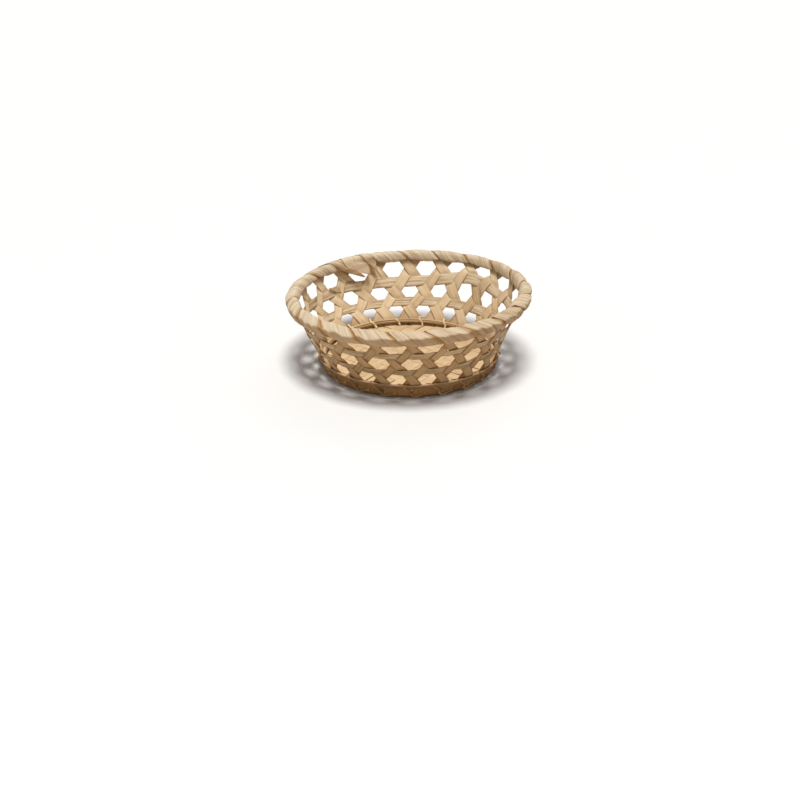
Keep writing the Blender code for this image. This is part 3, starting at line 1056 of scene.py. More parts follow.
    def spread(self, runs: Array, azimuths: Array, seed: int) -> tuple[Array, Array, Array]:
        """Spread the middle line of one half into the strip's width.

        Args:
            runs: Run of each station's middle.
            azimuths: Azimuth of each station's middle.
            seed: Which random lines shape the half.

        Returns:
            Way along the strip for each station, way across it for each point, and
            each point's place on the flat plan of the sheet.
        """
        plan = self.plan
        flat = np.stack((runs * np.cos(azimuths), runs * np.sin(azimuths)), axis=1)
        pull = plan.sheet.radius(runs) / runs
        outward = np.stack((np.cos(azimuths), np.sin(azimuths)), axis=1)
        sideways = np.stack((-outward[:, 1], outward[:, 0]), axis=1)
        ahead = np.gradient(flat, axis=0)
        climb = np.sum(ahead * outward, axis=1)
        around = np.sum(ahead * sideways, axis=1) * pull
        length = np.hypot(climb, around)
        along = np.concatenate(([0.0], np.cumsum((length[1:] + length[:-1]) / 2.0)))
        climb, around = climb / length, around / length
        wall_share = self.wall_share(runs)
        swing = self.floor_wander + (1.0 - self.floor_wander) * wall_share
        width = self.width(runs) + self.width_wander * wander(along, self.width_step, seed) * swing
        width = width + self.back_width * np.sin(azimuths) * wall_share
        shift = self.line_wander * wander(along, self.line_step, seed + 1) * wall_share
        across = width[:, None] * self.shares()[None, :] + shift[:, None]
        step_out = (across * -around[:, None])[..., None] * outward[:, None, :]
        step_side = (across * climb[:, None] / pull[:, None])[..., None] * sideways[:, None, :]
        return along, across, flat[:, None, :] + step_out + step_side

    def shares(self) -> Array:
        """Places of the points across a strip, closer together towards its edges."""
        close = np.sin(np.linspace(-RIGHT_ANGLE, RIGHT_ANGLE, self.across_steps + 1)) * 0.5
        return (close + np.linspace(-0.5, 0.5, self.across_steps + 1)) / 2.0

    def wall_share(self, runs: Array) -> Array:
        """0 on the floor and 1 in the wall."""
        return smooth_step((runs - self.plan.bend_start) / (self.plan.shoulder - self.plan.bend_start))

    def face_shade_and_wear(self, runs: Array, lift: Array) -> Array:
        """Find how far both faces of one half are darkened, mostly by painted shade.

        Args:
            runs: Run of each station's middle.
            lift: Lift of each point.

        Returns:
            The darkening of the loops.
        """
        plan = self.plan
        wall_share = self.wall_share(runs)
        edge = np.abs(self.shares() * 2.0)
        # Darker edges: partly painted contact shade where strips overlap, partly the darker cut edge.
        edge_tone = self.floor_edge_tone + self.wall_edge_tone * wall_share
        shade_and_wear = edge_tone[:, None] * (edge**DARK_EDGE)[None, :]
        # Painted shade on the foot, which lies under the hoop near the ground; the floor is given a darker
        # tone.
        leaving = smooth_step((runs - plan.bend_start) / self.foot_width)
        foot = self.foot_shade * (leaving - smooth_step((runs - plan.shoulder) / self.foot_width))
        foot = foot + self.floor_tone * (1.0 - leaving)
        # Painted shade on the strips just below the rim.
        below_rim = smooth_step((runs - plan.levels[4]) / (plan.levels[5] - plan.levels[4]))
        shade = (foot + self.under_rim_shade * below_rim)[:, None]
        # Painted shade where a strip passes under another; the outer face gets painted shade and a browner
        # skin.
        under = lift / self.weave_lift * wall_share[:, None]
        inside = shade_and_wear + shade + self.tuck_shade * np.clip(-under, 0.0, 1.0)
        outside = shade_and_wear + shade + self.tuck_shade * np.clip(under, 0.0, 1.0) + self.outer_shade_tone
        return both_faces(inside, outside)

    def half_grid(self, end: StripEnd, seed: int) -> tuple[Array, Array, Array]:
        """Build the two faces of one half.

        Args:
            end: The strip end.
            seed: Which random lines shape the half.

        Returns:
            Points of the loops, grain of the loops and wear of the loops.
        """
        runs, azimuths = self.half_line(end)
        along, across, spots = self.spread(runs, azimuths, seed)
        shares = self.shares()
        point_runs = np.linalg.norm(spots, axis=2)
        point_azimuths = np.arctan2(spots[..., 1], spots[..., 0])
        floor_way = spots[..., 0] * math.cos(end.direction) + spots[..., 1] * math.sin(end.direction)
        along_grid = np.repeat(along[:, None], len(shares), axis=1)
        wall_lift = self.wall_lift(end, point_runs, along_grid, across, runs)
        lift = self.weave_lift * (self.floor_lift(end, point_runs, floor_way) + wall_lift)
        shade_and_wear = self.face_shade_and_wear(runs, lift)
        arch = (1.0 - 4.0 * shares**2)[None, :]
        crown = self.camber * wander(along, self.crown_step, seed + 2)[:, None] * arch
        tilt = self.camber * wander(along, self.tilt_step, seed + 3)[:, None] * 2.0 * shares[None, :]
        lift = lift + (crown + tilt) * self.wall_share(runs)[:, None]
        half_thick = thinned(self.thickness, shares)
        inner = self.plan.sheet.place(point_runs, point_azimuths, lift + half_thick)
        outer = self.plan.sheet.place(point_runs, point_azimuths, lift - half_thick)
        grain = grain_of(along_grid, across, seed)
        return both_faces(inner, outer), both_faces(grain, grain + OTHER_FACE), shade_and_wear

    def build_strip(self, family: Family, index: int) -> None:
        """Build one long strip from rim to rim.

        Args:
            family: The strip's family.
            index: The strip's place in the family.
        """
        plan = self.plan
        direction = family.direction(plan)
        seed = self.seed + STRIP_SEEDS * index + (0 if family is Family.FIRST else FAMILY_SEEDS)
        ahead = self.half_grid(StripEnd(plan, direction, index), seed)
        mirrored = plan.strips_each_way - 1 - index
        behind = self.half_grid(StripEnd(plan, direction + math.pi, mirrored), seed + HALF_SEEDS)
        columns = self.across_steps + 1
        joined = []
        for far, near in zip(behind, ahead):
            flipped = np.concatenate((far[:, :columns][:, ::-1], far[:, columns:][:, ::-1]), axis=1)
            joined.append(np.concatenate((flipped[::-1], near[1:]), axis=0))
        loops, grain, shade_and_wear = joined
        rows = len(behind[0])
        grain[:rows, :, 0] *= -1.0
        grain[:rows, :, 1] *= -1.0
        grain[..., 2] = float(seed)
        name = f"long_strip_{family.value}{index + 1:02d}"
        piece = skin_loops(name, loops, grain, shade_and_wear, closed=False)
        settle(piece, self.material, "weave_strip", f"weave_strip_{family.value}{index + 1:02d}")

    def build(self) -> None:
        """Build both families."""
        self.material = self.finish.material()
        for family in Family:
            for index in range(self.plan.strips_each_way):
                self.build_strip(family, index)


@dataclass
class WeaverRings:
    """The two level rings that lock the leaning ends."""

    plan: WeavePlan
    finish: FibreFinish
    # Widths, and how much wider and lower the rings are behind.
    lower_width: float = 0.0074
    upper_width: float = 0.0080
    back_width: float = 0.0013
    back_drop: float = 0.0003
    # Thickness, lift at a crossing, and how sharply a ring changes sides.
    thickness: float = 0.00048
    weave_lift: float = 0.00040
    change: float = 2.4
    # Darkening: painted shade on the outer face, and darker edges, partly painted contact shade.
    outer_shade_tone: float = 0.66
    edge_tone: float = 0.55
    # How much the width, the level and the tilt wander.
    width_wander: float = 0.0007
    level_wander: float = 0.0005
    tilt_share: float = 0.5
    steps_each_crossing: int = 12
    across_steps: int = 8
    # The loose end: its place, size, ragged width, and how much darker it is all over and at its edges.
    tail_start: float = math.radians(130.5)
    tail_angle: float = math.radians(8.5)
    tail_width: float = 0.0052
    tail_rise: float = 0.0050
    tail_bend: float = 1.4
    tail_lift: float = 0.0011
    tail_ragged: float = 0.25
    tail_ragged_step: float = 0.12
    tail_tone: float = 0.15
    tail_edge_tone: float = 0.5
    tail_steps: int = 24
    tail_seed: int = 761
    lower_seed: int = 701
    upper_seed: int = 731

    def shares(self) -> Array:
        """Places of the points across a ring."""
        return np.linspace(-0.5, 0.5, self.across_steps + 1)

    def faces(self, run: Array, azimuths: Array, lift: Array, half_thick: Array | float) -> Array:
        """Lay both faces of a ribbon on the wall.

        Args:
            run: Runs of the points.
            azimuths: Azimuths of the points.
            lift: Lift of the ribbon's middle.
            half_thick: Half of its thickness.

        Returns:
            The points of the loops.
        """
        inner = self.plan.sheet.place(run, azimuths, lift + half_thick)
        return both_faces(inner, self.plan.sheet.place(run, azimuths, lift - half_thick))

    def build_tail(self) -> None:
        """Build the loose pointed end of the upper ring, where its ends overlap."""
        plan = self.plan
        way = np.linspace(0.0, 1.0, self.tail_steps + 1)
        run = plan.levels[3] + self.tail_rise * way**self.tail_bend
        wide = self.tail_width * (1.0 - way**2) + self.thickness
        shares = self.shares()
        ragged = 1.0 + self.tail_ragged * wander(way, self.tail_ragged_step, self.tail_seed)
        across = (wide * ragged)[:, None] * shares[None, :]
        azimuths = np.repeat((self.tail_start + self.tail_angle * way)[:, None], len(shares), axis=1)
        lift = np.repeat((self.tail_lift + self.tail_lift * way**2)[:, None], len(shares), axis=1)
        loops = self.faces(run[:, None] + across, azimuths, lift, self.thickness / 2.0)
        grain = grain_of(azimuths * plan.sheet.rim_radius, across, self.tail_seed)
        edge = self.tail_tone + self.tail_edge_tone * np.abs(shares * 2.0) ** THIN_EDGE
        shade_and_wear = np.repeat(edge[None, :], len(way), axis=0)
        grain = both_faces(grain, grain)
        piece = skin_loops("upper_ring_tail", loops, grain, both_faces(shade_and_wear, shade_and_wear), closed=False)
        settle(piece, self.material, "weaver_ring")

    def build_ring(self, name: str, node: str, level: int, width: float, seed: int) -> None:
        """Build one ring.

        Args:
            name: Name of the piece.
            node: Solid that it stands for.
            level: Level of the ring among the plan's levels, counted from 1.
            width: Width of the ring.
            seed: Which random lines shape it.
        """
        plan = self.plan
        crossings = 2 * plan.hexagons
        count = crossings * self.steps_each_crossing
        azimuth = np.arange(count) * TAU / count
        run = plan.levels[level - 1]
        radius = float(plan.sheet.radius(run))
        first = plan.first_crossing_angle + plan.level_angle * (1 - level)
        wave = -np.tanh(self.change * np.cos(math.pi * (azimuth - first) / plan.end_angle))
        along = azimuth * radius
        stretch = TAU * radius / crossings
        shares = self.shares()
        wide = width + self.back_width * np.sin(azimuth)
        wide = wide + self.width_wander * wander(along, stretch, seed, crossings)
        shift = self.level_wander * wander(along, stretch, seed + 1, crossings)
        shift = shift - self.back_drop * (1.0 + np.sin(azimuth))
        across = wide[:, None] * shares[None, :] + shift[:, None]
        tilt = self.weave_lift * self.tilt_share * wander(along, stretch, seed + 2, crossings)
        lift = (self.weave_lift * wave)[:, None] + tilt[:, None] * shares[None, :]
        azimuths = np.repeat(azimuth[:, None], len(shares), axis=1)
        loops = self.faces(run + across, azimuths, lift, thinned(self.thickness, shares))
        grain = grain_of(np.repeat(along[:, None], len(shares), axis=1), across, seed)
        # Edges darkened partly by painted contact shade; painted shade on the outer face.
        shade_and_wear = np.repeat((self.edge_tone * np.abs(shares * 2.0) ** DARK_EDGE)[None, :], count, axis=0)
        shade_and_wear_mask = both_faces(shade_and_wear, shade_and_wear + self.outer_shade_tone)
        piece = skin_loops(name, loops, both_faces(grain, grain + OTHER_FACE), shade_and_wear_mask, closed=True)
        settle(piece, self.material, "weaver_ring", node)

    def build(self) -> None:
        """Build the lower and the upper ring, and the loose end of the upper one."""
        self.material = self.finish.material()
        self.build_ring("lower_ring", "lower_weaver_ring", 2, self.lower_width, self.lower_seed)
        self.build_ring("upper_ring", "upper_weaver_ring", 4, self.upper_width, self.upper_seed)
        self.build_tail()


def turned_loops(radii: Array, heights: Array, azimuth: Array) -> Array:
    """Turn outlines about the axis.

    Args:
        radii: Radius of each point of each outline.
        heights: Height of each point of each outline.
        azimuth: Azimuth of each outline.

    Returns:
        The points of the loops.
    """
    cosine = np.cos(azimuth)[:, None]
    sine = np.sin(azimuth)[:, None]
    return np.stack((radii * cosine, radii * sine, heights), axis=-1)


@dataclass
class BaseBinding:
    """The two base hoops and the strand that is sewn round them."""

    plan: WeavePlan
    hoop_finish: FibreFinish
    strand_finish: FibreFinish
    # Thickness of the sheet that the hoops lie on, and the gap between them.
    solid_thickness: float = 0.0004
    seat_gap: float = 0.0003
    # The outer hoop: lower edge, how much higher in front, section, and painted shade on its faces below
    # the lit top edge.
    outer_low: float = 0.0084
    outer_tilt: float = 0.0013
    outer_tall: float = 0.005
    outer_thickness: float = 0.0019
    outer_flat: float = 0.55
    outer_round: float = 0.75
    outer_swell: float = 0.08
    outer_shade_tone: float = 0.80
    lit_edge: float = 0.75
    face_start: float = 0.3
    face_fade: float = 0.2
    # The inner hoop: section, seat, groove, and painted shade in the groove.
    inner_radius: float = 0.0021
    inner_seat_height: float = 0.0094
    groove: float = 0.00055
    groove_angle: float = math.radians(150.0)
    groove_reach: float = 0.26
    groove_shade: float = 0.9
    # Steps round a hoop, wander of its level, points of a section, free values.
    hoop_steps: int = 240
    hoop_wander: float = 0.00025
    outer_sides: int = 24
    inner_sides: int = 28
    outer_sways: int = 24
    outer_swells: int = 30
    inner_sways: int = 20
    # The strand: section, wander of its width, way over the hoop, steps, and painted shade where it lies
    # outside the wall.
    strand_width: float = 0.0019
    strand_thickness: float = 0.0007
    strand_sides: int = 10
    strand_wander: float = 0.12
    strand_wander_step: float = 0.006
    strand_over_hoop: float = 0.0009
    strand_spacing: float = 0.0008
    strand_shade: float = 0.9
    # One stitch, in shares of a hexagon, from its way out to its climb inside.
    stitch_drift: float = 0.035
    out_shares: Shares = (0.10, 0.14)
    over_shares: Shares = (0.19, 0.28, 0.37)
    under_shares: Shares = (0.42, 0.52, 0.72)
    in_shares: Shares = (0.84, 0.89, 0.91)
    floor_share: float = 0.93
    floor_seat: float = 0.0715
    climb_shares: Shares = (0.96, 1.0, 1.04, 1.08)
    climb_degrees: tuple[float, ...] = (200.0, 168.0, 134.0, 98.0)
    leave_share: float = 0.72
    # Random lines, and grain of the outer hoop, the inner hoop and the strand.
    outer_seed: int = 811
    inner_seed: int = 821
    strand_seed: int = 831
    grain_seeds: tuple[int, int, int] = (21, 22, 33)

    @property
    def seat(self) -> float:
        """Distance from the sheet to a hoop that lies on it."""
        return self.solid_thickness / 2.0 + self.seat_gap

    @property
    def hoop_azimuths(self) -> Array:
        """Azimuth of each loop of a hoop."""
        return np.arange(self.hoop_steps) * TAU / self.hoop_steps

    def add_hoop(self, name: str, node: str, loops: Array, grain: Array, shade_and_wear_mask: Array) -> None:
        """Add one hoop.

        Args:
            name: Name of the piece.
            node: Solid that it stands for.
            loops: Points of the loops.
            grain: Way along the hoop, way round its section and a seed.
            shade_and_wear_mask: How far each point of its section is darkened by painted shade.
        """
        shade_and_wear = np.repeat(shade_and_wear_mask[None, :], self.hoop_steps, axis=0)
        piece = skin_loops(name, loops, grain, shade_and_wear, closed=True)
        settle(piece, self.hoop_material, "hoop", node)

    def hoop_grain(self, around: Array, radius: float, seed: int) -> Array:
        """Lay the grain along a hoop.

        Args:
            around: Way round the section of each of its points.
            radius: Radius of the hoop.
            seed: Seed of the grain.

        Returns:
            The grain of the loops.
        """
        along = np.repeat((self.hoop_azimuths * radius)[:, None], len(around), axis=1)
        return grain_of(along, np.repeat(around[None, :], self.hoop_steps, axis=0), seed)

    def build_outer_hoop(self) -> None:
        """Build the flat splint hoop outside the wall."""
        sheet = self.plan.sheet
        azimuth = self.hoop_azimuths
        turn = np.linspace(0.0, TAU, self.outer_sides, endpoint=False)
        up = np.sign(np.sin(turn)) * np.abs(np.sin(turn)) ** self.outer_flat
        out = np.sign(np.cos(turn)) * np.abs(np.cos(turn)) ** self.outer_round
        low = sheet.run_at_height(self.outer_low)
        high = sheet.run_at_height(self.outer_low + self.outer_tall)
        sway = wander(azimuth, TAU / self.outer_sways, self.outer_seed, self.outer_sways)
        sway = self.hoop_wander * sway - self.outer_tilt * np.sin(azimuth)
        swell = wander(azimuth, TAU / self.outer_swells, self.outer_seed + 1, self.outer_swells)
        swell = 1.0 + self.outer_swell * swell
        run = (low + high) / 2.0 + sway[:, None] + (high - low) / 2.0 * swell[:, None] * up[None, :]
        lift = -(self.seat + self.outer_thickness / 2.0) - self.outer_thickness / 2.0 * out[None, :]
        radii, heights = sheet.lifted(run, np.repeat(lift, self.hoop_steps, axis=0))
        loops = sheet.handmade(turned_loops(radii, heights, azimuth))
        around = up * (high - low) / 2.0 + out * self.outer_thickness
        grain = self.hoop_grain(around, sheet.base_radius, self.grain_seeds[0])
        # Painted shade on the hoop's outer faces; the lit top edge is left pale.
        pale = smooth_step((up - self.lit_edge) / (1.0 - self.lit_edge))
        shade = self.outer_shade_tone * (1.0 - pale) * smooth_step((out + self.face_start) / self.face_fade)
        self.add_hoop("splint_hoop", "outer_base_hoop", loops, grain, np.clip(shade, 0.0, 1.0))

    def inner_centre(self) -> tuple[float, float]:
        """Find the middle of the round hoop's section.

        Returns:
            Its radius and its height.
        """
        run = self.plan.sheet.run_at_height(self.inner_seat_height)
        radius, height = self.plan.sheet.lifted(run, self.seat + self.inner_radius)
        return float(radius), float(height)

    def build_inner_hoop(self) -> None:
        """Build the grooved reed hoop inside the wall."""
        azimuth = self.hoop_azimuths
        turn = np.linspace(0.0, TAU, self.inner_sides, endpoint=False)
        radius, height = self.inner_centre()
        off = np.angle(np.exp(1j * (turn - self.groove_angle)))
        groove = np.exp(-((off / self.groove_reach) ** 2))
        reed = self.inner_radius - self.groove * groove
        sway = wander(azimuth, TAU / self.inner_sways, self.inner_seed, self.inner_sways)
        sway = self.hoop_wander * sway
        radii = np.repeat(radius + (reed * np.cos(turn))[None, :], self.hoop_steps, axis=0)
        heights = height + reed[None, :] * np.sin(turn)[None, :] + sway[:, None]
        loops = self.plan.sheet.handmade(turned_loops(radii, heights, azimuth))
        grain = self.hoop_grain(turn * self.inner_radius, radius, self.grain_seeds[1])
        # Painted shade in the groove.
        self.add_hoop("reed_hoop", "inner_base_hoop", loops, grain, self.groove_shade * groove)

    def stitch(self) -> list[tuple[float, float, float]]:
        """Lay one stitch.

        Returns:
            Radius, height and share of a hexagon of each of its points.
        """
        sheet = self.plan.sheet
        half = self.strand_thickness / 2.0
        skin = self.solid_thickness / 2.0 + self.seat_gap + half
        over = -(self.seat + self.outer_thickness + self.seat_gap + half)
        low = sheet.run_at_height(self.outer_low)
        high = sheet.run_at_height(self.outer_low + self.outer_tall)
        above = high + self.strand_over_hoop
        slot = self.plan.shoulder
        corner = sheet.run_at_height(sheet.base_height * sheet.foot_rise_shares[0][1])
        under = (corner + slot) / 2.0
        places = (
            (above, 0.0, self.out_shares[0]),
            (above, over * self.leave_share, self.out_shares[1]),
            (high, over + half, self.over_shares[0]),
            ((low + high) / 2.0, over, self.over_shares[1]),
            (low, over + half, self.over_shares[2]),
            (slot, -skin - half, self.under_shares[0]),
            (corner, -skin, self.under_shares[1]),
            (under, -skin - self.seat_gap, self.under_shares[2]),
            (slot, -skin - self.seat_gap, self.in_shares[0]),
            (slot, -skin, self.in_shares[1]),
            (slot, 0.0, self.in_shares[2]),
        )
        points = []
        for run, lift, share in places:
            radius, height = sheet.lifted(run, lift)
            points.append((float(radius), float(height), share))
        points.append((self.floor_seat, sheet.floor_height + skin, self.floor_share))
        radius, height = self.inner_centre()
        reach = self.inner_radius + self.seat_gap / 2.0 + half
        for degrees, share in zip(self.climb_degrees, self.climb_shares):
            angle = math.radians(degrees)
            points.append((radius + reach * math.cos(angle), height + reach * math.sin(angle), share))
        return points

    def strand_rows(self, core_radius: float, core_height: float) -> Array:
        """Lay all stitches, one for each hexagon.

        Args:
            core_radius: Radius of the place that the strand winds round.
            core_height: Height of that place.

        Returns:
            Place of each point, and the direction away from the core there.
        """
        plan = self.plan
        first = plan.first_crossing_angle + plan.end_angle
        stitch = self.stitch()
        generator = np.random.default_rng(self.strand_seed)
        rows = []
        for turn in range(plan.hexagons):
            drift = generator.uniform(-self.stitch_drift, self.stitch_drift)
            for radius, height, share in stitch:
                azimuth = first + (turn + share + drift) * plan.hexagon_angle
                away = np.array((radius - core_radius, height - core_height))
                away /= np.linalg.norm(away)
                spoke = np.array((math.cos(azimuth), math.sin(azimuth)))
                rows.append((*(spoke * radius), height, *(spoke * away[0]), away[1]))
        return np.array(rows[1:])

    def build_lashing(self) -> None:
        """Build the strand along its stitches."""
        sheet = self.plan.sheet
        core_run = sheet.run_at_height(sheet.base_height)
        core_radius, core_height = sheet.lifted(core_run, self.solid_thickness)
        walk, along = smooth_path(self.strand_rows(core_radius, core_height), self.strand_spacing)
        points, away = walk[:, :3], walk[:, 3:]
        ahead = np.gradient(points, axis=0)
        ahead /= np.linalg.norm(ahead, axis=1, keepdims=True)
        side = np.cross(ahead, away)
        side /= np.linalg.norm(side, axis=1, keepdims=True)
        rise = np.cross(side, ahead)
        turn = np.linspace(0.0, TAU, self.strand_sides, endpoint=False)
        swing = self.strand_wander * wander(along, self.strand_wander_step, self.strand_seed + 1)
        wide = self.strand_width / 2.0 * (1.0 + swing)
        across = wide[:, None] * np.cos(turn)[None, :]
        thick = self.strand_thickness / 2.0 * np.sin(turn)[None, :]
        loops = points[:, None, :] + across[..., None] * side[:, None, :]
        loops = loops + thick[..., None] * rise[:, None, :]
        lengths = np.repeat(along[:, None], self.strand_sides, axis=1)
        grain = grain_of(lengths, across, self.grain_seeds[2])
        # Painted shade on the strand where it lies outside the wall.
        outside = smooth_step((np.hypot(points[:, 0], points[:, 1]) - core_radius) / self.strand_width)
        shade_and_wear = np.repeat((self.strand_shade * outside)[:, None], self.strand_sides, axis=1)
        piece = skin_loops("sewing_strand", sheet.handmade(loops), grain, shade_and_wear, closed=False)
        settle(piece, self.strand_finish.material(), "lashing", "base_lashing")

    def build(self) -> None:
        """Build both hoops and the strand."""
        self.hoop_material = self.hoop_finish.material()
        self.build_outer_hoop()
        self.build_inner_hoop()
        self.build_lashing()


@dataclass(frozen=True)
class BladeStation:
    """One crosswise line of a loose blade, from its left edge to its right edge.

    Angles run round the rim's section, from outwards over the top to inwards.
    """

    # Azimuth and angle of the left edge in degrees, and its distance from the
    # section's centre where it hangs free.
    left: float
    left_angle: float
    left_off: float
    # The same of the right edge.
    right: float
    right_angle: float
    right_off: float

    def row(self) -> tuple[float, ...]:
        """Give the station's numbers in radians and metres.

        Returns:
            Azimuth, angle and distance of the left edge, and then of the right edge.
        """
        return (
            math.radians(self.left),
            math.radians(self.left_angle),
            self.left_off,
            math.radians(self.right),
            math.radians(self.right_angle),
            self.right_off,
        )


# Stand-off of an edge that lies on the wound tube, which is further out than this.
LAID = 0.0055
LOW_BLADE = (
    BladeStation(138.0, -60.0, LAID, 134.0, -60.0, LAID),
    BladeStation(137.0, 10.0, LAID, 130.0, 10.0, LAID),
    BladeStation(135.0, 60.0, LAID, 128.0, 60.0, LAID),
    BladeStation(133.5, 95.0, LAID, 126.2, 100.0, LAID),
    BladeStation(133.5, 145.0, LAID, 126.0, 165.0, LAID),
    BladeStation(130.5, 200.0, LAID, 123.6, 216.0, 0.0070),
    BladeStation(126.5, 228.0, 0.0095, 123.8, 232.0, 0.0116),
)
TAIL_BLADE = (
    BladeStation(146.0, -60.0, LAID, 142.0, -60.0, LAID),
    BladeStation(144.5, 10.0, LAID, 137.5, 10.0, LAID),
    BladeStation(142.0, 60.0, LAID, 133.4, 60.0, 0.0060),
    BladeStation(140.0, 90.0, LAID, 131.2, 92.0, 0.0062),
    BladeStation(137.5, 125.0, LAID, 130.6, 142.0, 0.0066),
    BladeStation(133.0, 205.0, 0.0070, 128.3, 193.0, 0.0070),
    BladeStation(129.2, 231.0, 0.0103, 127.0, 212.0, 0.0095),
    BladeStation(125.0, 238.0, 0.0142, 123.6, 226.5, 0.0121),
    BladeStation(120.5, 239.5, 0.0187, 121.0, 231.5, 0.0160),
    BladeStation(118.6, 238.3, 0.0200, 118.6, 238.0, 0.0199),
)
BROAD_BLADE = (
    BladeStation(131.0, -60.0, LAID, 126.0, -60.0, LAID),
    BladeStation(130.0, 10.0, LAID, 119.5, 10.0, LAID),
    BladeStation(128.0, 60.0, 0.0068, 119.0, 60.0, LAID),
    BladeStation(128.6, 95.0, 0.0062, 118.3, 110.0, LAID),
    BladeStation(129.4, 165.0, 0.0068, 116.2, 190.0, LAID),
    BladeStation(128.6, 200.0, 0.0076, 115.0, 212.0, 0.0080),
    BladeStation(125.0, 229.0, 0.0110, 114.0, 229.6, 0.0103),
    BladeStation(121.0, 236.0, 0.0140, 114.2, 242.0, 0.0166),
)
FOLDED_BLADE = (
    BladeStation(124.0, -60.0, LAID, 120.0, -60.0, LAID),
    BladeStation(121.0, 10.0, LAID, 114.5, 10.0, LAID),
    BladeStation(119.5, 60.0, LAID, 113.5, 60.0, LAID),
    BladeStation(118.6, 105.0, LAID, 112.4, 115.0, LAID),
    BladeStation(117.0, 165.0, LAID, 110.8, 165.0, 0.0080),
    BladeStation(115.6, 200.0, LAID, 109.8, 195.0, 0.0070),
    BladeStation(113.4, 224.0, 0.0078, 109.4, 222.0, 0.0076),
    BladeStation(111.0, 237.0, 0.0119, 109.9, 233.0, 0.0108),
    BladeStation(109.6, 244.0, 0.0170, 109.0, 242.0, 0.0160),
    BladeStation(107.3, 250.0, 0.0218, 107.2, 249.5, 0.0216),
)
SPLICE = (LOW_BLADE, TAIL_BLADE, BROAD_BLADE, FOLDED_BLADE)


@dataclass(frozen=True)
class LeafGrid:
    """Where the wound leaf's points lie, station by station and across.

    Attributes:
        angle: Angle of each station round the rim's section.
        turns: Turns that lie behind each station.
        middle: Azimuth of each station's middle.
        open_share: How far the leaf is spread at each station, up to 1.
        side: Place of each point across the leaf, from -1 to 1.
        azimuth: Azimuth of each point.
    """

    angle: Array
    turns: Array
    middle: Array
    open_share: Array
    side: Array
    azimuth: Array


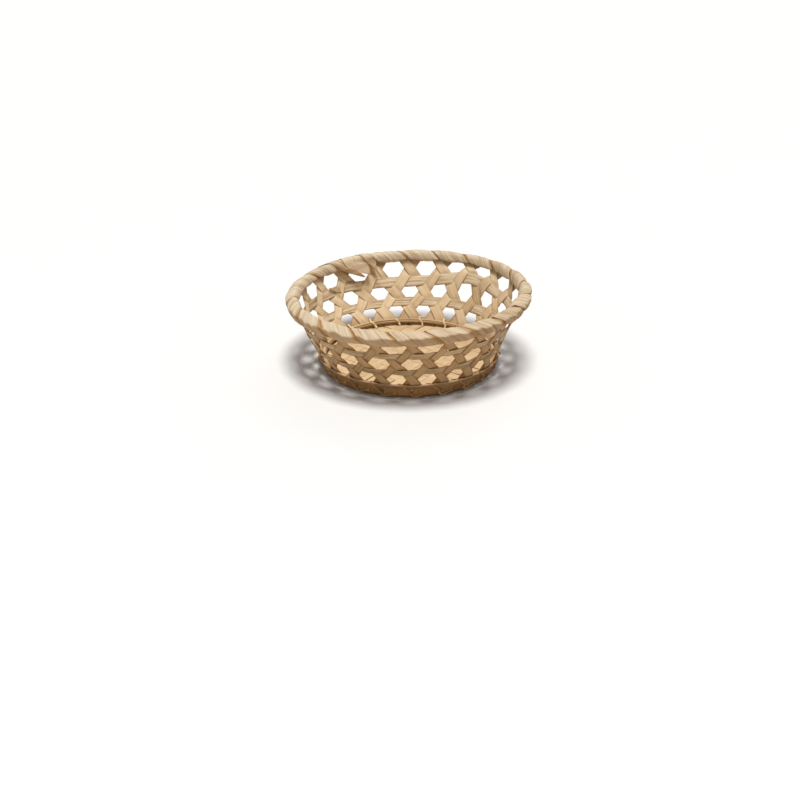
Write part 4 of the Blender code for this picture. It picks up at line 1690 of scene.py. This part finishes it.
@dataclass
class RimBinding:
    """The rim's two hoops and the broad leaf strip that is wound round them."""

    plan: WeavePlan
    hoop_finish: FibreFinish
    leaf_finish: FibreFinish
    # The round that both hoops make up, half of the gap between them, and steps.
    core_radius: float = 0.0040
    core_gap: float = 0.00088
    hoop_sides: int = 13
    hoop_steps: int = 180
    hoop_tone: float = 0.4
    # The wound tube, how square it is in front and elsewhere, and its roll behind.
    tube_radius: float = 0.0044
    squareness: float = 8.0
    side_squareness: float = 3.0
    turn_focus: float = 1.5
    back_roll: float = math.radians(14.0)
    # How far the faces turn at creases, and how close the creases lie.
    crease: float = math.radians(13.0)
    crease_step: float = 0.0038
    # Painted shade on the outer face, on the blades where they hang inside, and on the top in front.
    outer_shade_tone: float = 0.76
    inner_shade: float = 0.34
    front_shade: float = 0.24
    # The leaf, and angles from straight below where it is gathered and spread.
    leaf_thickness: float = 0.0003
    leaf_width: float = 0.034
    overlap: float = 0.0030
    gathered_width: float = 0.0135
    neck_degrees: float = 12.0
    spread_degrees: float = 54.0
    end_degrees: float = 8.0
    # How much its edges wander, coarsely and finely, and over how many turns.
    ragged: float = 0.025
    ragged_turns: float = 0.13
    fine_ragged: float = 0.015
    fine_ragged_turns: float = 0.03
    # Length of a turn, as a share of the way round the tube.
    length_share: float = 1.4
    # How far one edge lies below the other, and how the middle swells.
    tuck: float = 0.00034
    swell: float = 0.00105
    side_swell: float = 0.0005
    swell_shift: float = 0.06
    swell_flat: float = 2.4
    side_calm: float = 0.6
    # One broad swell in front.
    flap: float = 0.0014
    flap_side: float = math.radians(-22.0)
    flap_reach: float = math.radians(5.0)
    # The loose edge, and lumps that differ from turn to turn.
    loose_edge: float = 0.00022
    loose_turns: float = 0.31
    loose_start: float = 0.75
    turn_wander: float = 0.00018
    lumps_each_turn: float = 3.0
    lumps_across: float = 1.3
    # Pleats, coarse and fine, how they stray, and how strong they are.
    pleat: float = 0.00042
    pleat_step: float = 0.0027
    fine_pleat: float = 0.00017
    fine_pleat_step: float = 0.0012
    fold_drift: float = 0.0016
    fold_drift_step: float = 0.03
    fine_drift_share: float = 0.4
    fold_jump: float = 0.0117
    lane_start: float = 0.2
    pleat_strengths: tuple[float, float, float] = (0.9, 0.6, 0.5)
    pleat_turns: float = 0.5
    pleat_fade: float = 0.8
    pleat_fade_start: float = 0.7
    pleat_fade_width: float = 0.25
    # How far the turns are pulled along on one side.
    drift: float = math.radians(5.0)
    drift_side: float = math.radians(155.0)
    drift_reach: float = math.radians(17.0)
    drift_spread: float = 0.15
    # How narrow the rounding of an edge is.
    edge_focus: int = 14
    # Painted shade where a turn tucks under the next, and where the leaf is gathered below the rim.
    tuck_reach: float = 0.58
    side_tuck: float = 0.12
    tuck_fade: float = 0.25
    tuck_shade: float = 0.9
    gather_shade: float = 0.55
    gather_focus: float = 1.5
    # How far outwards the face looks where the painted shade of the outer face comes in.
    shade_start: float = 0.62
    shade_fade: float = 0.2
    # Painted shade along the leaf's edges at the seams, and how narrow it is.
    rim_edge_tone: float = 0.5
    rim_edge_focus: int = 30
    # Steps of a turn and across, and outer points for each inner one.
    turn_steps: int = 72
    across_steps: int = 48
    inner_thinning: int = 6
    # The blades: steps, gap between them, arch, lip, ridges, their darker tone, and painted shade on their
    # edges and where they hang inside.
    blade_steps: int = 70
    blade_points: int = 17
    blade_gap: float = 0.00018
    blade_curl: float = 0.00045
    blade_lip: float = 0.00035
    blade_lip_reach: float = 0.10
    blade_full_width: float = 0.006
    blade_angle_share: float = 0.05
    blade_ridge_step: float = 0.0016
    blade_ridge_start: float = 0.3
    blade_tone: float = 0.10
    blade_edge_tone: float = 0.5
    inner_start: float = math.radians(135.0)
    inner_fade: float = math.radians(50.0)
    # Grains and random lines.
    hoop_grains: tuple[int, int] = (23, 24)
    leaf_grain: int = 41
    seed: int = 900
    blade_seed: int = 20

    def frame(self) -> tuple[Array, Array, Array]:
        """Find the rim section's centre and its outward and upward directions.

        Returns:
            The centre and the two directions, as radius and height.
        """
        sheet = self.plan.sheet
        run = sheet.run_at_height(sheet.rim_height)
        inner = np.array(sheet.lifted(run, self.core_radius))
        outer = np.array(sheet.lifted(run, -self.core_radius))
        outward = (outer - inner) / np.linalg.norm(outer - inner)
        return (inner + outer) / 2.0, outward, np.array((-outward[1], outward[0]))

    def rim_points(self, angle: Array, azimuth: Array, stand_off: Array) -> Array:
        """Find points round the rim of the uneven basket.

        Args:
            angle: Angle round the rim's section, from outwards to upwards.
            azimuth: Azimuth of each point.
            stand_off: Distance of each point from the section's centre.

        Returns:
            The points, with three numbers each.
        """
        centre, outward, upward = self.frame()
        along = stand_off * np.cos(angle)
        rise = stand_off * np.sin(angle)
        radius = centre[0] + outward[0] * along + upward[0] * rise
        height = centre[1] + outward[1] * along + upward[1] * rise
        regular = np.stack((radius * np.cos(azimuth), radius * np.sin(azimuth), height), axis=-1)
        return self.plan.sheet.handmade(regular)

    def build_hoop(self, name: str, node: str, start: float, seed: int) -> None:
        """Build one half-round hoop.

        Args:
            name: Name of the piece.
            node: Solid that it stands for.
            start: Angle that the hoop's round side faces.
            seed: Seed of its grain.
        """
        reach = math.acos(self.core_gap / self.core_radius)
        angle = start + np.linspace(-reach, reach, self.hoop_sides)
        azimuth = np.linspace(0.0, TAU, self.hoop_steps, endpoint=False)
        shape = (len(azimuth), len(angle))
        angles = np.broadcast_to(angle[None, :], shape)
        azimuths = np.broadcast_to(azimuth[:, None], shape)
        loops = self.rim_points(angles, azimuths, np.full(shape, self.core_radius))
        grain = grain_of(azimuths * self.plan.sheet.rim_radius, angles * self.core_radius, seed)
        piece = skin_loops(name, loops, grain, np.full(shape, self.hoop_tone), closed=True)
        settle(piece, self.hoop_material, "hoop", node)

    def below(self, angle: Array) -> Array:
        """How far an angle round the rim lies from straight below it."""
        return np.abs((angle + RIGHT_ANGLE + math.pi) % TAU - math.pi)

    def sideness(self, azimuth: Array) -> Array:
        """1 at the basket's sides, where the wrap lies rounder, and 0 at front and back."""
        return 1.0 - np.abs(np.sin(azimuth)) ** self.turn_focus

    def roll(self, azimuth: Array) -> Array:
        """How far the section's flat top is rolled inwards, which shows it behind."""
        return self.back_roll * np.clip(np.sin(azimuth), 0.0, 1.0)

    def tube(self, angle: Array, azimuth: Array) -> Array:
        """Radius of the wound tube at an angle round it.

        Args:
            angle: Angle round the rim's section, from outwards to upwards.
            azimuth: Azimuth of each point.

        Returns:
            The radius: of a rounded square in front, and of a rounder one elsewhere.
        """
        front = np.clip(-np.sin(azimuth), 0.0, 1.0) ** self.turn_focus
        power = self.side_squareness + (self.squareness - self.side_squareness) * front
        angle = angle - self.roll(azimuth)
        square = np.abs(np.cos(angle)) ** power + np.abs(np.sin(angle)) ** power
        return self.tube_radius * square ** (-1.0 / power)

    def half_width(self, angle: Array) -> Array:
        """Find half of the leaf's span round the basket: broad above, gathered below.

        Args:
            angle: Angle round the rim's section.

        Returns:
            The half span, as an azimuth.
        """
        sheet = self.plan.sheet
        broad = (self.plan.hexagon_angle + self.overlap / sheet.rim_radius) / 2.0
        narrow = self.gathered_width / 2.0 / sheet.rim_radius
        neck = math.radians(self.neck_degrees)
        spread = (self.below(angle) - neck) / (math.radians(self.spread_degrees) - neck)
        return narrow + (broad - narrow) * smooth_step(spread)

    def leaf_grid(self) -> LeafGrid:
        """Wind the leaf round the rim, a turn for each hexagon.

        Returns:
            Where its points lie.
        """
        plan = self.plan
        end = math.radians(self.end_degrees)
        count = self.turn_steps * plan.hexagons
        angle = np.linspace(-RIGHT_ANGLE - end, -RIGHT_ANGLE - TAU * plan.hexagons + end, count + 1)
        hole = plan.first_crossing_angle + plan.end_angle + plan.hexagon_angle
        middle = hole - (angle + RIGHT_ANGLE) / plan.hexagons
        turns = -(angle + RIGHT_ANGLE) / TAU
        pulled = np.exp(-(((middle - self.drift_side) / self.drift_reach) ** 2))
        pulled = pulled + np.exp(-(((middle - TAU - self.drift_side) / self.drift_reach) ** 2))
        half = self.half_width(angle)
        open_share = half / half.max()
        middle = middle + self.drift * pulled
        half = half * (1.0 + self.drift_spread * pulled)
        side = np.sin(np.linspace(-RIGHT_ANGLE, RIGHT_ANGLE, self.across_steps + 1))
        side = (side + np.linspace(-1.0, 1.0, self.across_steps + 1) * 2.0) / 3.0
        ragged = 1.0 + self.ragged * wander(turns, self.ragged_turns, self.seed)
        ragged = ragged + self.fine_ragged * wander(turns, self.fine_ragged_turns, self.seed + 1)
        azimuth = middle[:, None] + half[:, None] * ragged[:, None] * side[None, :]
        return LeafGrid(angle, turns, middle, open_share, side, azimuth)

    def leaf_pleats(self, grid: LeafGrid, lane: Array, drift: Array, folds: Array) -> Array:
        """Find how far the leaf's pleats stand off.

        Args:
            grid: Where the leaf's points lie.
            lane: Way across the leaf.
            drift: How far the pattern strays at each station.
            folds: Place of each point in the pattern.

        Returns:
            The relief at each point.
        """
        pleats = self.pleat * wander(folds, self.pleat_step, self.seed + 3)
        fine = lane + drift * self.fine_drift_share + self.lane_start
        pleats = pleats + self.fine_pleat * wander(fine, self.fine_pleat_step, self.seed + 4)
        least, swing, gather = self.pleat_strengths
        strength = least + swing * wander(grid.turns, self.pleat_turns, self.seed + 5)
        strength = strength + gather * (1.0 - grid.open_share)
        strength = strength * (1.0 - self.side_calm * self.sideness(grid.middle))
        edge = (np.abs(grid.side) - self.pleat_fade_start) / self.pleat_fade_width
        return pleats * strength[:, None] * (1.0 - self.pleat_fade * smooth_step(edge))[None, :]

    def leaf_lumps(self, grid: LeafGrid) -> Array:
        """Find how far lumps and loose edges stand off.

        Args:
            grid: Where the leaf's points lie.

        Returns:
            The relief at each point.
        """
        side = grid.side[None, :]
        spots = grid.turns[:, None] * self.lumps_each_turn + side * self.lumps_across
        lumps = self.turn_wander * wander(spots, 1.0, self.seed + 6)
        loose = np.clip(wander(grid.turns, self.loose_turns, self.seed + 7), 0.0, 1.0)
        loose = self.loose_edge * loose[:, None] * grid.open_share[:, None]
        return lumps + loose * smooth_step((-side - self.loose_start) / (1.0 - self.loose_start))

    def leaf_swell(self, grid: LeafGrid) -> Array:
        """Find how far the leaf's middle bulges.

        Args:
            grid: Where the leaf's points lie.

        Returns:
            The relief at each point.
        """
        side = grid.side[None, :]
        flap = np.angle(np.exp(1j * (grid.middle - self.flap_side))) / self.flap_reach
        full = self.swell + self.side_swell * self.sideness(grid.middle) + self.flap * np.exp(-(flap**2))
        arch = 1.0 - np.abs(side + self.swell_shift) ** self.swell_flat
        return (full * grid.open_share)[:, None] * arch

    def leaf_shade_and_wear(self, grid: LeafGrid, crease: Array) -> Array:
        """Find how far the leaf is darkened by painted shade.

        Args:
            grid: Where the leaf's points lie.
            crease: Turn of each point by the creases.

        Returns:
            The painted shade of each point of the outer face.
        """
        side = grid.side[None, :]
        closed = 1.0 - grid.open_share[:, None]
        # Painted shade where each turn dives under the next.
        reach = self.tuck_reach - self.side_tuck * self.sideness(grid.middle)[:, None]
        tucked = smooth_step((side - reach) / self.tuck_fade) * self.tuck_shade * grid.open_share[:, None]
        # Painted shade under the rim, where the leaf is gathered.
        gathered = self.gather_shade * closed**self.gather_focus
        # Painted shade on faces that look outwards; painted shade also darkens the top in front.
        looks_out = np.cos(grid.angle[:, None] + crease - self.roll(grid.azimuth))
        shaded = smooth_step((looks_out - self.shade_start) / self.shade_fade)
        front = np.clip(-np.sin(grid.middle), 0.0, 1.0)[:, None]
        facing = self.outer_shade_tone * shaded + self.front_shade * front * (1.0 - shaded)
        # Painted shade along the leaf's edges, at the seams.
        edges = self.rim_edge_tone * np.abs(side) ** self.rim_edge_focus
        return np.clip(tucked + gathered + facing + edges, 0.0, 1.0)

    def build_leaf(self) -> None:
        """Build the wound leaf."""
        grid = self.leaf_grid()
        side = grid.side[None, :]
        length = grid.turns * TAU * self.tube_radius * self.length_share
        lane = side * self.leaf_width / 2.0
        drift = self.fold_drift * wander(length, self.fold_drift_step, self.seed + 2)[:, None]
        folds = lane + drift + np.floor(grid.turns)[:, None] * self.fold_jump
        crease = self.crease * wander(folds, self.crease_step, self.seed + 8)
        tube = self.tube(grid.angle[:, None] + crease, grid.azimuth)
        tuck = -self.tuck * side * grid.open_share[:, None] ** 2
        pleats = self.leaf_pleats(grid, lane, drift, folds)
        stand_off = tube + self.leaf_swell(grid) + tuck + pleats + self.leaf_lumps(grid)
        edge = np.abs(side) ** self.edge_focus
        deepest = self.pleat + self.fine_pleat
        inner_off = stand_off - self.leaf_thickness - deepest * (1.0 - edge)
        angles = np.repeat(grid.angle[:, None], len(grid.side), axis=1)
        thin = slice(None, None, self.inner_thinning)
        outer = self.rim_points(angles, grid.azimuth, stand_off - edge * self.leaf_thickness / 2.0)
        inner = self.rim_points(angles[:, thin], grid.azimuth[:, thin], inner_off[:, thin])
        lengths = np.repeat(length[:, None], len(grid.side), axis=1)
        grain = grain_of(lengths, np.broadcast_to(lane, grid.azimuth.shape), self.leaf_grain)
        shade_and_wear = self.leaf_shade_and_wear(grid, crease)
        loops = both_faces(outer, inner)
        grain = both_faces(grain, grain[:, thin])
        piece = skin_loops("wound_leaf", loops, grain, both_faces(shade_and_wear, shade_and_wear[:, thin]), closed=False)
        settle(piece, self.leaf_material, "rim_wrap", "rim_wrap")

    def build_blade(self, name: str, blade: tuple[BladeStation, ...], gap: float, seed: int) -> None:
        """Build one loose blade of the leaf's splice.

        Args:
            name: Name of the piece.
            blade: Its stations, from below the outside of the rim to the tip.
            gap: Distance of its laid part from the wound tube.
            seed: Which random lines shape it.
        """
        rows = np.array([station.row() for station in blade])
        knots = np.linspace(0.0, 1.0, len(rows))
        way = np.linspace(0.0, 1.0, self.blade_steps + 1)
        edges = np.stack([cubic_through(way, knots, row, middle_slopes(knots, row)) for row in rows.T])
        shares = np.linspace(0.0, 1.0, self.blade_points)[None, :]
        azimuth, angle, free = edges[:3, :, None] * (1.0 - shares) + edges[3:, :, None] * shares
        width = np.hypot(edges[0] - edges[3], (edges[1] - edges[4]) * self.blade_angle_share)
        width = width[:, None] * self.plan.sheet.rim_radius
        fullness = np.clip(width / self.blade_full_width, 0.0, 1.0)
        bulge = self.blade_curl * np.sin(math.pi * shares) * fullness
        lip = self.blade_lip * np.exp(-((shares / self.blade_lip_reach) ** 2)) * fullness
        ridges = wander(width * shares + self.blade_ridge_start, self.blade_ridge_step, seed)
        laid = self.tube(angle, azimuth) + self.swell + gap
        stand_off = np.maximum(laid, free) + bulge + lip + self.fine_pleat * ridges
        outer = self.rim_points(angle, azimuth, stand_off)
        inner = self.rim_points(angle, azimuth, stand_off - self.leaf_thickness)
        steps = np.linalg.norm(np.diff(outer[:, self.blade_points // 2], axis=0), axis=1)
        along = np.concatenate(([0.0], np.cumsum(steps)))
        grain = grain_of(np.repeat(along[:, None], self.blade_points, axis=1), width * shares, seed)
        # Painted shade where the blade hangs inside the rim, and along its edges.
        shade_and_wear = self.inner_shade * smooth_step((angle - self.inner_start) / self.inner_fade)
        edge = np.abs(shares * 2.0 - 1.0) ** self.edge_focus
        shade_and_wear = shade_and_wear + self.blade_tone + self.blade_edge_tone * edge
        loops = both_faces(outer, inner)
        piece = skin_loops(name, loops, both_faces(grain, grain), both_faces(shade_and_wear, shade_and_wear), closed=False)
        settle(piece, self.leaf_material, "rim_wrap")

    def build(self) -> None:
        """Build both hoops, the wound leaf and the loose blades of its splice."""
        self.hoop_material = self.hoop_finish.material()
        self.leaf_material = self.leaf_finish.material()
        self.build_hoop("rim_hoop_outside", "outer_rim_hoop", 0.0, self.hoop_grains[0])
        self.build_hoop("rim_hoop_inside", "inner_rim_hoop", math.pi, self.hoop_grains[1])
        self.build_leaf()
        for index, blade in enumerate(SPLICE):
            gap = self.blade_gap * (index + 1.0)
            seed = self.seed + self.blade_seed + index
            self.build_blade(f"splice_blade_{index + 1}", blade, gap, seed)


@dataclass
class Studio:
    """Floor, light and camera."""

    # The photograph's frame, and where the middle of the rim lies in it.
    frame_pixels: float = 800.0
    aim_pixel: tuple[float, float] = (408.8, 294.3)
    aim_height: float = 0.066
    # The camera, with its sensor's width in millimetres.
    distance: float = 1.25
    elevation: float = math.radians(21.0)
    focal_pixels: float = 1392.3
    sensor_width: float = 36.0
    near_clip: float = 0.01
    far_clip: float = 50.0
    # The floor.
    floor_radius: float = 7.0
    floor_sides: int = 96
    floor_colour: Colour = (0.80, 0.80, 0.80)
    floor_roughness: float = 0.9
    # The room and the lights, turned from straight above the camera.
    world_colour: Colour = (1.0, 1.0, 1.0)
    world_strength: float = 0.28
    light_colour: Colour = (1.0, 0.99, 0.97)
    key_elevation: float = math.radians(79.3)
    key_turn: float = math.radians(6.0)
    key_strength: float = 2.95
    key_angle: float = math.radians(20.0)
    fill_elevation: float = math.radians(42.0)
    fill_turn: float = math.radians(160.0)
    fill_strength: float = 0.4
    fill_angle: float = math.radians(50.0)

    def build_floor(self) -> None:
        """Lay a plain pale floor."""
        mesh = bpy.data.meshes.new("floor")
        data = bmesh.new()
        bmesh.ops.create_circle(data, cap_ends=True, segments=self.floor_sides, radius=self.floor_radius)
        data.to_mesh(mesh)
        data.free()
        floor = bpy.data.objects.new("floor", mesh)
        bpy.context.scene.collection.objects.link(floor)
        sheet = NodeSheet("pale_floor")
        sheet.shader.inputs["Base Color"].default_value = (*self.floor_colour, 1.0)
        sheet.shader.inputs["Roughness"].default_value = self.floor_roughness
        mesh.materials.append(sheet.material)

    def build_light(self, name: str, strength: float, angle: float, elevation: float, turn: float) -> None:
        """Set one distant soft light.

        Args:
            name: Name of the light.
            strength: Its strength.
            angle: How wide it looks from the basket.
            elevation: How high it stands.
            turn: Turn about the vertical, from straight above the camera.
        """
        light = bpy.data.lights.new(name, "SUN")
        light.energy = strength
        light.angle = angle
        light.color = self.light_colour
        lamp = bpy.data.objects.new(name, light)
        lamp.rotation_euler = (RIGHT_ANGLE - elevation, 0.0, turn)
        bpy.context.scene.collection.objects.link(lamp)

    def build_world(self) -> None:
        """Make the room a dim pale one."""
        world = bpy.data.worlds.new("pale_room")
        world.use_nodes = True
        background = world.node_tree.nodes["Background"]
        background.inputs["Color"].default_value = (*self.world_colour, 1.0)
        background.inputs["Strength"].default_value = self.world_strength
        bpy.context.scene.world = world
        bpy.context.scene.view_settings.view_transform = "Standard"

    def build_camera(self) -> None:
        """Place the camera at the photograph's angle and framing."""
        camera = bpy.data.cameras.new("camera")
        camera.sensor_width = self.sensor_width
        camera.lens = self.focal_pixels / self.frame_pixels * self.sensor_width
        half = self.frame_pixels / 2.0
        camera.shift_x = (half - self.aim_pixel[0]) / self.frame_pixels
        camera.shift_y = (self.aim_pixel[1] - half) / self.frame_pixels
        camera.clip_start = self.near_clip
        camera.clip_end = self.far_clip
        stand = bpy.data.objects.new("camera", camera)
        back = self.distance * math.cos(self.elevation)
        up = self.aim_height + self.distance * math.sin(self.elevation)
        stand.location = (0.0, -back, up)
        stand.rotation_euler = (RIGHT_ANGLE - self.elevation, 0.0, 0.0)
        bpy.context.scene.collection.objects.link(stand)
        bpy.context.scene.camera = stand

    def build(self) -> None:
        """Set up the whole studio: a soft light above the camera and a weak one behind."""
        self.build_floor()
        key = (self.key_strength, self.key_angle, self.key_elevation, self.key_turn)
        fill = (self.fill_strength, self.fill_angle, self.fill_elevation, self.fill_turn)
        self.build_light("key_light", *key)
        self.build_light("fill_light", *fill)
        self.build_world()
        self.build_camera()


def main() -> None:
    """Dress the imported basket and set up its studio."""
    logging.basicConfig(level=logging.INFO, format="%(name)s: %(message)s")
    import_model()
    palette = Palette()
    plan = WeavePlan(SheetShape())
    Studio().build()
    LongStrips(plan, palette.strip).build()
    WeaverRings(plan, palette.ring).build()
    BaseBinding(plan, palette.hoop, palette.strand).build()
    RimBinding(plan, palette.hoop, palette.leaf).build()


if __name__ == "__main__":
    main()
